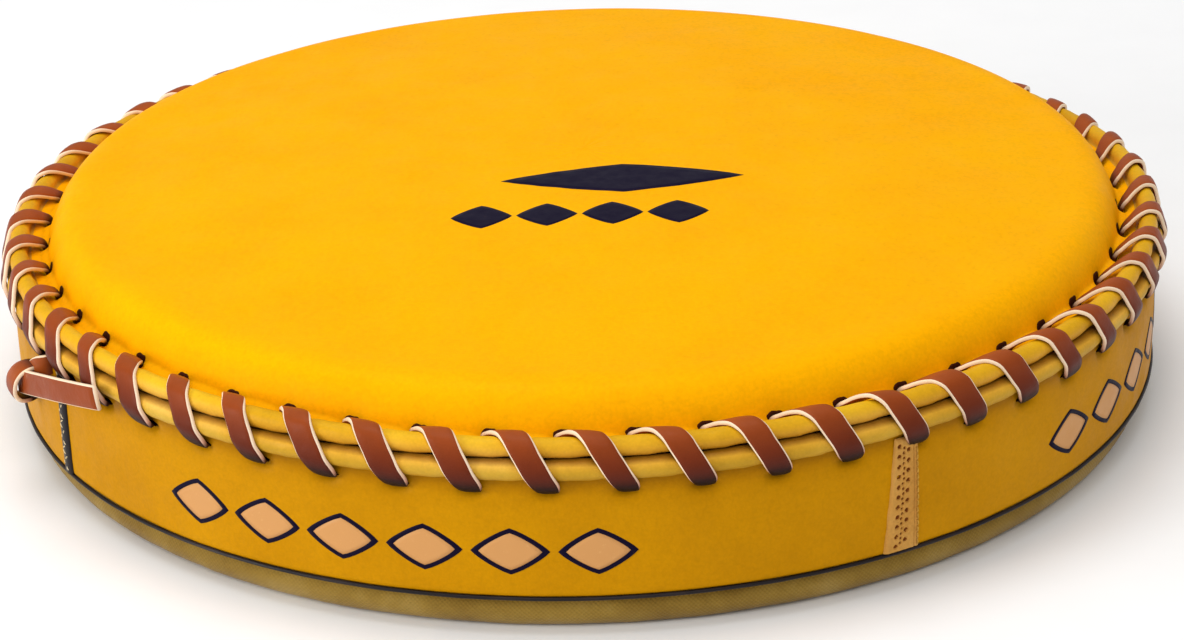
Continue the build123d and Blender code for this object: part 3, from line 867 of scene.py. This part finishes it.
def stitch(index):
    """One stitch over both rolls, each a little different, as a hand-pulled lace is."""
    start = FIRST_LACE + index * LACE_PITCH
    slant = LACE_SLANT * chance.uniform(0.95, 1.04)
    broad = chance.uniform(0.93, 1.04)
    lean = chance.uniform(-7, 7)
    lift = chance.uniform(-0.05, 0.22)
    sway = chance.uniform(-0.5, 0.5)

    def frame_of(row):
        radius, height, heading, width, share = row
        angle = start + slant * share + 0.3 * sway * sin(pi * share)
        forward, wide, thick = lace_frame(angle, heading)
        swing = Matrix.Rotation(radians(lean * sin(pi * share)), 3, forward)
        rise = lift * sin(pi * min(1.0, share))
        centre = rim_point(radius, angle, height - rim_sag(angle)) + thick * rise
        return centre, swing @ wide, swing @ thick, width * broad

    return ribbon(smooth_line(STITCH, 3), frame_of, 0.12)


lace_piece("rim_lacing", [stitch(index) for index in range(LACE_COUNT)], "rim_lace")


def hole_shade_patch(index):
    """A dark patch of painted shade for the mouth of one hole in the face, where its lace comes up
    from inside the shoulder.
    """
    middle = FIRST_LACE + index * LACE_PITCH

    def place(x, climb, lift):
        angle = middle + degrees(x / HOLE_RING)
        if climb > 0:
            slope = radians(SHOULDER_TO) - climb / SHOULDER_RADIUS
            radius = SHOULDER_CENTRE[0] + SHOULDER_RADIUS * sin(slope)
            height = SHOULDER_CENTRE[1] + SHOULDER_RADIUS * cos(slope)
        else:
            radius = GROOVE_START[0] - climb * 0.88
            height = GROOVE_START[1] + climb * 0.47
        radius, height = face_point(angle, 0 if climb > 0 else CROWN_POINTS, radius, height)
        return rim_point(radius + lift * 0.75, angle, height + lift * 0.65)

    mouth = []
    for size, lift in ((1.0, 0.0), (0.9, 0.22), (0.6, 0.26), (0.3, 0.26), (0.1, 0.26)):
        mouth.append([])
        for step in range(20):
            turn = 2 * pi * step / 20
            reach = size * (1 + 0.12 * rough(cos(turn) * 1.5, sin(turn) * 1.5, index))
            mouth[-1].append(place(2.7 * reach * cos(turn), 0.5 + 1.5 * reach * sin(turn), lift))
    return plate(mouth)


# a dark patch of painted shade at each lace hole in the face
holes = [hole_shade_patch(index) for index in range(LACE_COUNT)]
joined_piece("lace_hole_shade", holes, HOLE_SHADE)

# the lace's loose end: angle, radius, height, heading from the outward radius, rise, width
TAIL = (
    (207.9, 198.6, 49.8, 0, 0.0, 6.6),
    (207.8, 201.0, 49.5, -12, -0.1, 7.2),
    (207.2, 202.9, 48.2, -60, -0.45, 7.9),
    (205.9, 203.4, 45.4, -88, -0.65, 8.3),
    (204.2, 203.3, 41.8, -90, -0.65, 8.5),
    (202.9, 203.4, 39.0, -62, -0.5, 8.6),
    (202.3, 204.6, 37.8, 0, -0.1, 8.6),
    (202.7, 206.1, 38.0, 62, 0.2, 8.6),
    (203.8, 206.5, 39.2, 92, 0.3, 8.6),
    (207.0, 206.5, 42.8, 92, 0.3, 8.5),
    (211.0, 206.8, 47.2, 92, 0.3, 8.5),
    (216.0, 207.1, 52.0, 91, 0.28, 8.4),
    (221.0, 207.2, 56.2, 90, 0.26, 8.3),
)


def tail_frame(row):
    angle, radius, height, heading, rise, width = row
    forward = (rim_point(1, angle + heading, 0) + Vector((0, 0, rise))).normalized()
    thick = forward.cross(Vector((0, 0, 1))).normalized()
    return rim_point(radius, angle, height), thick.cross(forward), thick, width


tail_verts, tail_faces, tail_along, tail_picks = ribbon(smooth_line(TAIL, 4), tail_frame, 0.1)
# the painted shade at a lace's ends is left off the tail's free end
tail_along = [min(0.5, 0.1 + share) for share in tail_along]  # its free end isn't darkened

# the loop that holds the loose end down: radius, height, heading in that plane, width, angle
KEEPER = (
    (200.8, 45.4, 35, 6.6, 205.2),
    (203.6, 46.4, 5, 7.6, 205.0),
    (207.0, 45.1, -45, 8.6, 204.5),
    (209.2, 41.8, -75, 9.2, 203.9),
    (209.8, 38.0, -90, 9.4, 203.4),
    (209.2, 34.4, -105, 9.2, 202.9),
    (207.0, 31.6, -140, 8.6, 202.5),
    (203.6, 30.9, -180, 7.8, 202.3),
    (200.6, 31.6, -200, 6.8, 202.2),
)


def keeper_frame(row):
    radius, height, heading, width, angle = row
    _, wide, thick = lace_frame(angle, heading)
    return rim_point(radius, angle, height), wide, thick, width


keeper = ribbon(smooth_line(KEEPER, 4), keeper_frame, 0.15)
lace_piece("lace_end", [(tail_verts, tail_faces, tail_along, tail_picks), keeper], "lace_tail")


# ---- the base roll and the back ----

def base_point(angle, index, radius, height):
    """Cloth over a cord: long soft gathers, and small tucks on the inside of the turn."""
    centre_r, centre_z = BASE_ROLL
    out, up = radius - centre_r, height - centre_z
    size = hypot(out, up)
    if size > BASE_ROLL_SIZE + 1.2:
        return radius, height
    turn = atan2(up, out)
    inner = bell((abs(turn) - pi) * BASE_ROLL_SIZE, 9.0)
    swell_ = 0.22 * rough(angle / 4.5, turn * 1.5) + 0.10 * rough(angle * 1.1, turn * 2, 5)
    swell_ += inner * 0.35 * rough(angle * 0.9, turn * 0.6, 9)
    size = min(size + swell_ - 0.15, BASE_ROLL_SIZE + 0.2)
    return centre_r + size * cos(turn), max(0.05, centre_z + size * sin(turn))


base_profile = [(198.95, 13.1), (199.0, 11.9), (198.2, 11.4), (196.8, 11.1)]
base_profile += arc(BASE_ROLL, BASE_ROLL_SIZE, 36, -246, 44)
base = turned_piece("base_cloth", base_profile, 720, base_point, KHAKI_CLOTH)
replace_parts(base, "base_binding")


# a thin dark cord sewn in between the side leather and the base cloth
BASE_WELT = (200.0, 12.9)
BASE_WELT_SIZE = 0.65


def welt_point(angle, index, radius, height):
    return radius + 0.08 * rough(angle / 3, 8), height + 0.10 * rough(angle / 4, 2)


welt_profile = arc(BASE_WELT, BASE_WELT_SIZE, 360, 0, 13)
welt = turned_piece("base_welt", welt_profile, 480, welt_point, PIPING_LEATHER)
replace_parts(welt, "base_piping")


def back_point(angle, index, radius, height):
    """Canvas drawn over the board: nearly flat, with faint puckers towards its sewn edge."""
    pucker = 0.22 * rough(angle / 2.2, radius / 40) * bell(radius - 184, 22)
    return radius, height - 0.10 - pucker - 0.12 * rough(angle / 30, radius / 28, 4)


back_profile = [(BACK_EDGE + 1, 14.6), (BACK_EDGE, 14.0)]
back_profile += [(BACK_EDGE * (1 - step / 30), BACK_PANEL_Z) for step in range(1, 30)]
back_profile.append((0.4, BACK_PANEL_Z))
verts, faces, uvs = turned(back_profile, whole_turn(360), True, back_point)
deep = len(back_profile)
faces.append(tuple(reversed([column * deep + deep - 1 for column in range(360)])))
flat_uvs = [(vertex.x * MM, vertex.y * MM) for vertex in verts]
back = mesh_piece("back_cloth", verts, faces, [BACK_CANVAS], None, flat_uvs)
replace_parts(back, "back_panel")


# ---- thread, trim and motifs ----

def stitched(name, seams, radius, material, body="shield"):
    """Rows of stitches as one piece. Each seam is a list of (start, end, outward) in millimetres."""
    parts = []
    for start, end, outward in [spot for seam in seams for spot in seam]:
        run = end - start
        side = run.cross(outward).normalized()
        rings = []
        for share in (0.0, 0.12, 0.35, 0.65, 0.88, 1.0):
            rise = radius * (1.25 * sin(pi * share) ** 0.5 - 0.75)
            centre = start + run * share + outward * rise
            rings.append([
                centre + side * radius * cos(turn) + outward * radius * sin(turn)
                for turn in (pi * step / 3 for step in range(6))
            ])
        parts.append(tube(rings))
    return joined_piece(name, parts, material, body)


def dashes(place, first, last, pitch, length):
    """Stitches along a line: place gives (point, outward) for a distance along it."""
    count = int((last - first) / pitch)
    found = []
    for step in range(count + 1):
        middle = first + pitch * step + chance.uniform(-0.08, 0.08)
        start, outward = place(middle - length / 2)
        end, _ = place(middle + length / 2)
        found.append((start, end, outward))
    return found


def lozenge(place, middle, half, rings):
    """A lozenge with soft corners. rings are (size, lift), place turns (x, y, lift) to a point."""
    outline = []
    for step in range(32):
        turn = 2 * pi * step / 32
        reach = (abs(cos(turn)) ** 1.18 + abs(sin(turn)) ** 1.18) ** (-1 / 1.18)
        outline.append((reach * cos(turn) * half[0], reach * sin(turn) * half[1]))
    return plate([
        [place(middle[0] + x * size, middle[1] + y * size, lift) for x, y in outline]
        for size, lift in rings
    ])


def wall_place(start):
    """Places on the side leather: x runs round the rim from an angle, y is the height."""
    def place(x, height, lift):
        angle = start + degrees(x / RIM_RADIUS)
        return rim_point(RIM_RADIUS + wall_swell(angle, height) + lift, angle, height)

    return place


# a row of six outlined lozenges on each side panel, printed over a tan ground
MOTIF_START = 18.0  # degrees past the panel's first seam
MOTIF_HALF = (12.4, 8.0)
MOTIF_PITCH = 27.0
MOTIF_HEIGHT = 29.3
OUTLINE_RINGS = [(1.0, -0.15), (0.985, 0.16), (0.80, 0.16), (0.79, 0.02)]
GROUND_RINGS = [(0.81, -0.15), (0.80, 0.10), (0.6, 0.11), (0.3, 0.11), (0.05, 0.11)]
FACE_RINGS = [(1.0, -0.15), (0.985, 0.13), (0.8, 0.15), (0.6, 0.15), (0.4, 0.15), (0.2, 0.15)]


def side_motif(side, start):
    place = wall_place(start + MOTIF_START)
    outlines = []
    grounds = []
    for index in range(6):
        middle = (MOTIF_HALF[0] + index * MOTIF_PITCH, MOTIF_HEIGHT)
        verts, faces = lozenge(place, middle, MOTIF_HALF, OUTLINE_RINGS)
        outlines.append((verts, faces[:-1]))
        grounds.append(lozenge(place, middle, MOTIF_HALF, GROUND_RINGS))
    joined_piece(f"motif_outline_{side}", outlines, NAVY_INK)
    joined_piece(f"motif_ground_{side}", grounds, TAN_INK)


for side, (start, end) in SIDE_PANELS.items():
    side_motif(side, start)


def face_place(x, y, lift):
    radius = hypot(x, y)
    rise = crown_rise(degrees(atan2(y, x)), radius)
    return Vector((x, y, crown_height(radius) + rise + lift))


emblem = [lozenge(face_place, (14, -29), (42, 13), FACE_RINGS)]
for index in range(4):
    emblem.append(lozenge(face_place, (-34 + index * 22, -60), (10.4, 9.5), FACE_RINGS))
joined_piece("face_emblem", emblem, NAVY_INK)


# two dark welts with a running stitch of pale thread, where the side panels are piped together
WELT_BOTTOM, WELT_TOP = 13.5, 52.6
WELT_HALF = 3.0
WELT_PROUD = 1.25


def seam_welt(side, seam):
    surface = wall_place(seam)
    rows = []
    for step in range(40):
        height = WELT_BOTTOM + (WELT_TOP - WELT_BOTTOM) * step / 39
        half = WELT_HALF + 0.2 * rough(height / 3, seam)
        proud = WELT_PROUD + 0.12 * rough(height / 4, seam, 5)
        turns = [2 * pi * turn / 10 for turn in range(10)]
        rows.append([surface(half * cos(turn), height, proud * sin(turn)) for turn in turns])
    verts, faces = tube(rows)
    welt = mesh_piece(f"seam_welt_{side}", verts, faces, [PIPING_LEATHER])
    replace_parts(welt, f"seam_piping_{side}")

    def place(height):
        sway = 1.3 * sin(height * 1.35)
        angle = seam + degrees(sway / RIM_RADIUS)
        radius = RIM_RADIUS + 1.08 + wall_swell(seam, height)
        return rim_point(radius, angle, height), rim_point(1, angle, 0)

    row = dashes(place, 15.5, 50.5, 1.9, 1.3)
    stitched(f"welt_stitches_{side}", [row], 0.25, PALE_THREAD)


for side, seam in PIPED_SEAMS.items():
    seam_welt(side, seam)


# two strips over the butt joints: two staggered columns of punched holes, small ones between
STRIP_BOTTOM, STRIP_TOP = 13.9, 52.6
STRIP_LIFT = 1.0
PUNCH_GAP = 3.4
PUNCH_PITCH = 1.72
STRIP_HOLES = [(PUNCH_GAP * (row % 2), 15.6 + row * PUNCH_PITCH, 0.70) for row in range(21)]
for row in range(20):
    STRIP_HOLES.append((1.7 + chance.uniform(-0.3, 0.3), 16.5 + row * PUNCH_PITCH, 0.42))


def strip_edges(height):
    """Left and right edges of the strip: it leans, and it is wider at the foot."""
    share = (height - STRIP_BOTTOM) / (STRIP_TOP - STRIP_BOTTOM)
    wander = 0.3 * rough(height / 5, 2)
    return -8.6 + 3.8 * share + wander, 4.4 - 0.6 * share + 0.7 * wander


def perforated_strip(side, seam):
    place = wall_place(seam)
    wide, tall = 52, 140
    verts = []
    uvs = []
    pits = []
    for row in range(tall + 1):
        height = STRIP_BOTTOM + (STRIP_TOP - STRIP_BOTTOM) * row / tall
        left, right = strip_edges(height)
        for column in range(wide + 1):
            x = left + (right - left) * column / wide
            edge = min(x - left, right - x, STRIP_TOP - height)
            column_x = -3.2 + 0.35 * (left + 4.8)
            rim = min(
                hypot(x - hole_x - column_x, height - hole_z) - size
                for hole_x, hole_z, size in STRIP_HOLES
            )
            lift = STRIP_LIFT * (1 - exp(-edge / 0.35)) + 0.20 * rough(x / 1.2, height / 1.2, seam)
            lift -= 0.35 * bell(x - right + 1.9, 0.3)
            ridge = 0.16 * bell(rim - 0.35, 0.35)
            pit = 1 / (1 + exp(rim * 7))
            verts.append(place(x, height, lift + ridge - 1.05 * pit))
            uvs.append((x * MM, height * MM))
            pits.append(pit)
    faces = []
    picks = []
    for row in range(tall):
        for column in range(wide):
            a = row * (wide + 1) + column
            corners = (a, a + 1, a + wide + 2, a + wide + 1)
            faces.append(corners)
            # faces deep in a punched hole take the painted shade material
            picks.append(1 if sum(pits[corner] for corner in corners) > 2.0 else 0)
    strip = mesh_piece(
        f"perforated_strip_{side}", verts, faces, [STRIP_LEATHER, PUNCH_PAINTED_SHADE],
        picks, uvs,
    )
    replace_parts(strip, f"seam_strip_{side}")

    def along(inset):
        def spot(height):
            x = strip_edges(height)[1] - inset
            angle = seam + degrees(x / RIM_RADIUS)
            return place(x, height, STRIP_LIFT + 0.3), rim_point(1, angle, 0)

        return spot

    rows = [dashes(along(1.0), 15.5, 49.5, 2.3, 1.7)]
    stitched(f"strip_stitches_{side}", rows, 0.26, GOLD_THREAD)


for side, seam in STRIP_SEAMS.items():
    perforated_strip(side, seam)


# ---- the grips and their anchors ----

CHAPE_THICKNESS = 1.9
PATCH_MIDDLE = (43.5, 0.0)
PATCH_HALF = (17.5, 94.0)
PATCH_BACK, PATCH_FRONT = 13.6, 12.0
PATCH_CORNER = 8.0

# centre line of a folded chape, for the right side: x, height, heading in that plane, width
CHAPE_PATH = (
    (30.4, 10.85, 0, 23.4),
    (38.0, 10.85, 0, 23.8),
    (56.0, 10.85, 0, 23.8),
    (60.5, 10.5, -12, 23.8),
    (64.6, 9.55, -6, 23.8),
    (67.4, 8.5, -50, 23.8),
    (68.35, 6.2, -90, 23.8),
    (67.4, 3.9, -135, 23.8),
    (65.0, 2.95, 180, 23.8),
    (62.6, 4.0, 135, 23.8),
    (60.6, 6.4, 128, 23.8),
    (57.6, 8.6, 150, 23.8),
    (54.0, 8.98, 180, 23.8),
    (40.0, 8.98, 180, 23.8),
    (31.0, 8.98, 180, 23.4),
)


def chape_piece(name, side, end):
    """A leather strap folded round the ring, its two layers sewn and riveted flat."""
    def frame_of(row):
        x, height, heading, width = row
        forward = Vector((side * cos(radians(heading)), 0, sin(radians(heading))))
        wide = Vector((0, 1, 0))
        thick = wide.cross(forward) * side
        middle = Vector((side * x, end * CHAPE_Y, height))
        return middle, wide, thick, width

    rows = smooth_line(CHAPE_PATH, 4)
    verts, faces, _, picks = ribbon(rows, frame_of, 0.0, CHAPE_THICKNESS)
    if side > 0:
        faces = flipped(faces)
    piece = mesh_piece(
        f"{name}_folded_chape", verts, faces, [GRIP_LEATHER, CUT_LEATHER], picks
    )
    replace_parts(piece, f"{name}_chape")
    under = Vector((0, 0, -1))
    seams = []
    for across in (-1, 1):
        def place(x, across=across):
            return Vector((side * x, end * CHAPE_Y + across * 10.2, 7.98)), under

        seams.append(dashes(place, 32.5, 55.5, 2.6, 1.8))

    def cross_place(y):
        return Vector((side * 32.4, end * CHAPE_Y + y, 7.98)), under

    seams.append(dashes(cross_place, -9.0, 9.0, 2.6, 1.8))
    stitched(f"{name}_chape_stitches", seams, 0.3, PALE_THREAD)


def rounded_ring(middle, half, corner, inset, height, steps=7):
    """Points round a rectangle with round corners, inset from its edge."""
    ring = []
    size = max(0.3, corner - inset)
    for quarter, (sx, sy) in enumerate(((1, 1), (-1, 1), (-1, -1), (1, -1))):
        centre = (middle[0] + sx * (half[0] - corner), middle[1] + sy * (half[1] - corner))
        for step in range(steps):
            turn = radians(90 * quarter + 90 * step / (steps - 1))
            x, y = centre[0] + size * cos(turn), centre[1] + size * sin(turn)
            ring.append(Vector((x, y, height)))
    return ring


def stitches_between(a, b, pitch, outward, lift=0.0):
    """Stitches that share out a straight run: (start, end, outward) for each."""
    run = b - a
    count = max(1, round(run.length / pitch))
    ends = [(step + 0.18, step + 0.82) for step in range(count)]
    rise = outward * lift
    return [(a + run * x / count + rise, a + run * y / count + rise, outward) for x, y in ends]


def anchor_patch(name, side):
    """A leather patch sewn on the back under both chapes, its edge rounded over."""
    middle = (side * PATCH_MIDDLE[0], 0.0)
    rings = [
        rounded_ring(middle, PATCH_HALF, PATCH_CORNER, inset, height)
        for inset, height in (
            (0.6, PATCH_BACK), (0.0, PATCH_BACK - 0.2), (0.0, PATCH_FRONT + 0.5),
            (0.15, PATCH_FRONT + 0.2), (0.5, PATCH_FRONT), (2.2, PATCH_FRONT + 0.12),
            (2.9, PATCH_FRONT), (6.0, PATCH_FRONT),
        )
    ]
    verts, faces = plate(rings)
    piece = mesh_piece(
        f"{name}_sewn_patch", verts, flipped(faces), [PATCH_LEATHER]
    )
    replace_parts(piece, f"{name}_anchor_patch")
    line_ = rounded_ring(middle, PATCH_HALF, PATCH_CORNER, 2.5, PATCH_FRONT, 5)
    under = Vector((0, 0, -1))
    seams = []
    for a, b in zip(line_, [*line_[1:], line_[0]]):
        seams += stitches_between(a, b, 2.9, under)
    stitched(f"{name}_patch_stitches", [seams], 0.28, PALE_THREAD)


def grip_line():
    """The grip's centre line on the right side, from the top ring to the bottom one."""
    bend_x, bend_y = GRIP_X - GRIP_BEND, CHAPE_Y - GRIP_BEND
    line_ = [(EYE_X - 4.2, CHAPE_Y), (EYE_X - 3.2, CHAPE_Y), (EYE_X - 1.5, CHAPE_Y)]
    line_ += [(EYE_X + 1.2 * step, CHAPE_Y) for step in range(0, 7)]
    line_ += arc((bend_x, bend_y), GRIP_BEND, 90, 0, 16)
    line_ += line((GRIP_X, bend_y), (GRIP_X, 0.0), 18)
    return line_ + [(x, -y) for x, y in reversed(line_[:-1])]


def grip_cover(name, side):
    """A padded leather grip: flat where it holds the rings, full in the hand, and sewn inside."""
    middle_line = grip_line()
    count = len(middle_line)
    rings = []
    for step, (x, y) in enumerate(middle_line):
        before = middle_line[max(0, step - 1)]
        after = middle_line[min(count - 1, step + 1)]
        run = hypot(after[0] - before[0], after[1] - before[1])
        inward = Vector((side * (after[1] - before[1]) / run, -(after[0] - before[0]) / run, 0))
        full = clamped((abs(y) - 62) / -20) if x > EYE_X + 12 else 0.0
        end_round = sqrt(max(0.05, 1 - (max(0.0, EYE_X - x) / 4.6) ** 2))
        half_wide = 11.6 + (8.2 - 11.6) * clamped((x - EYE_X - 3) / 16)
        half_wide += 0.5 * full + 0.15 * rough(step * 0.35, side)
        half_high = (4.2 + (0.45 * full)) * end_round
        half_high -= 0.9 * bell(x - EYE_X - 9, 4.5) * (1 - full)
        ring = []
        for turn in range(GRIP_SIDES):
            across, up = cos(2 * pi * turn / GRIP_SIDES), sin(2 * pi * turn / GRIP_SIDES)
            across = abs(across) ** 0.75 * (1 if across > 0 else -1)
            seam_dip = 1 - 0.10 * bell((turn + 14) % GRIP_SIDES - 14, 1.2)
            ring.append(
                Vector((side * x, y, GRIP_Z))
                + inward * across * half_wide * seam_dip
                + Vector((0, 0, up * half_high))
            )
        rings.append(ring)
    verts, faces = tube(rings)
    if side < 0:
        faces = flipped(faces)
    cover = mesh_piece(
        f"{name}_grip_cover", verts, faces, [GRIP_LEATHER], body=f"{name}_grip"
    )
    held = [
        index for index, vertex in enumerate(cover.data.vertices)
        if abs(vertex.co.y) > 60 * MM or vertex.co.x * side < (EYE_X + 10) * MM
    ]
    inflate(cover, held, 0.8)
    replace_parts(cover, f"{name}_handle_cover")
    return [vertex.co / MM for vertex in cover.data.vertices], middle_line


def grip_seam(name, side, points, middle_line):
    """A row of stitches each side of the seam along the grip's inner edge."""
    seams = []
    for offset in (2, 26):
        row = []
        for step in range(8, len(middle_line) - 9):
            a = points[step * GRIP_SIDES + offset]
            b = points[(step + 1) * GRIP_SIDES + offset]
            middle = Vector((side * middle_line[step][0], middle_line[step][1], GRIP_Z))
            row += stitches_between(a, b, 2.8, (a - middle).normalized(), 0.08)
        seams.append(row)
    stitched(f"{name}_grip_stitches", seams, 0.27, PALE_THREAD, f"{name}_grip")


for name, side in (("right", 1), ("left", -1)):
    anchor_patch(name, side)
    for place, end in (("top", 1), ("bottom", -1)):
        chape_piece(f"{name}_{place}", side, end)
    points, middle_line = grip_cover(name, side)
    grip_seam(name, side, points, middle_line)


# ---- stage ----

CAMERA_LENS = 107.0
CAMERA_PLACE = (0.0020, -1.1542, 0.5242)  # metres
CAMERA_ELEVATION = 23.66  # degrees it looks down
CAMERA_ROLL = -0.0307  # radians


def lay_floor():
    mesh = bpy.data.meshes.new("floor")
    mesh.from_pydata([(-9, -9, 0), (9, -9, 0), (9, 9, 0), (-9, 9, 0)], [], [(0, 1, 2, 3)])
    floor_ = bpy.data.objects.new("floor", mesh)
    graph = Graph("floor_paper", Specular_IOR_Level=0.1, Roughness=0.9)
    grain = graph.spots(40, 4)
    mesh.materials.append(graph.done(graph.ramp(grain, (0.3, 0.94), (0.7, 0.96))))
    bpy.context.scene.collection.objects.link(floor_)
    floor_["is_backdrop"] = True


def add_light(name, place, target, size, power):
    lamp = bpy.data.lights.new(name, "AREA")
    lamp.shape = "DISK"
    lamp.size = size
    lamp.energy = power
    light = bpy.data.objects.new(name, lamp)
    light.location = place
    direction = Vector(target) - Vector(place)
    light.rotation_euler = direction.to_track_quat("-Z", "Y").to_euler()
    bpy.context.scene.collection.objects.link(light)


def add_camera():
    """The camera: low in front, and level but for a slight roll."""
    camera_data = bpy.data.cameras.new("camera")
    camera_data.sensor_width = 36.0
    camera_data.lens = CAMERA_LENS
    camera = bpy.data.objects.new("camera", camera_data)
    elevation, roll = radians(CAMERA_ELEVATION), CAMERA_ROLL
    forward = Vector((0, cos(elevation), -sin(elevation)))
    across = Vector((1, 0, 0))
    up = across.cross(forward)
    right = across * cos(roll) + up * sin(roll)
    above = up * cos(roll) - across * sin(roll)
    turn = Matrix((right, above, -forward)).transposed().to_4x4()
    camera.matrix_world = Matrix.Translation(CAMERA_PLACE) @ turn
    bpy.context.scene.collection.objects.link(camera)
    bpy.context.scene.camera = camera


scene = bpy.context.scene
scene.view_settings.view_transform = "Standard"
world = bpy.data.worlds.new("studio")
world.use_nodes = True
world.node_tree.nodes["Background"].inputs["Color"].default_value = (1, 1, 1, 1)
world.node_tree.nodes["Background"].inputs["Strength"].default_value = 0.50
scene.world = world
lay_floor()
add_light("key", (-0.3, 0.0, 2.2), (0, 0, 0.05), 1.6, 22)
add_light("front", (0.0, -1.8, 1.9), (0, 0, 0.05), 1.6, 13)
add_light("left", (-1.7, -0.8, 0.55), (-0.15, -0.1, 0.04), 0.8, 15)
add_camera()

MATERIAL_OF_SLOT = {
    "face_leather": FACE_LEATHER,
    "side_leather": SIDE_LEATHER,
    "strip_leather": STRIP_LEATHER,
    "lace_leather": LACE_TOP,
    "grip_leather": GRIP_LEATHER,
    "dark_piping": PIPING_LEATHER,
    "khaki_cloth": KHAKI_CLOTH,
    "cord": CORD_COTTON,
    "foam": GREY_FOAM,
    "board": BIRCH_BOARD,
    "ring_steel": RING_STEEL,
    "steel": RIVET_STEEL,
}
slot_of = {entry["node"]: entry["material_slot"] for entry in frame["record"]["subparts"]}
for node, solid in frame["nodes"].items():
    for place in solid.material_slots:
        place.material = MATERIAL_OF_SLOT[slot_of[node]]

boxes = {"cad": cad_box, "visual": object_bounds()}
{name: [list(corner) for corner in box] for name, box in boxes.items()}
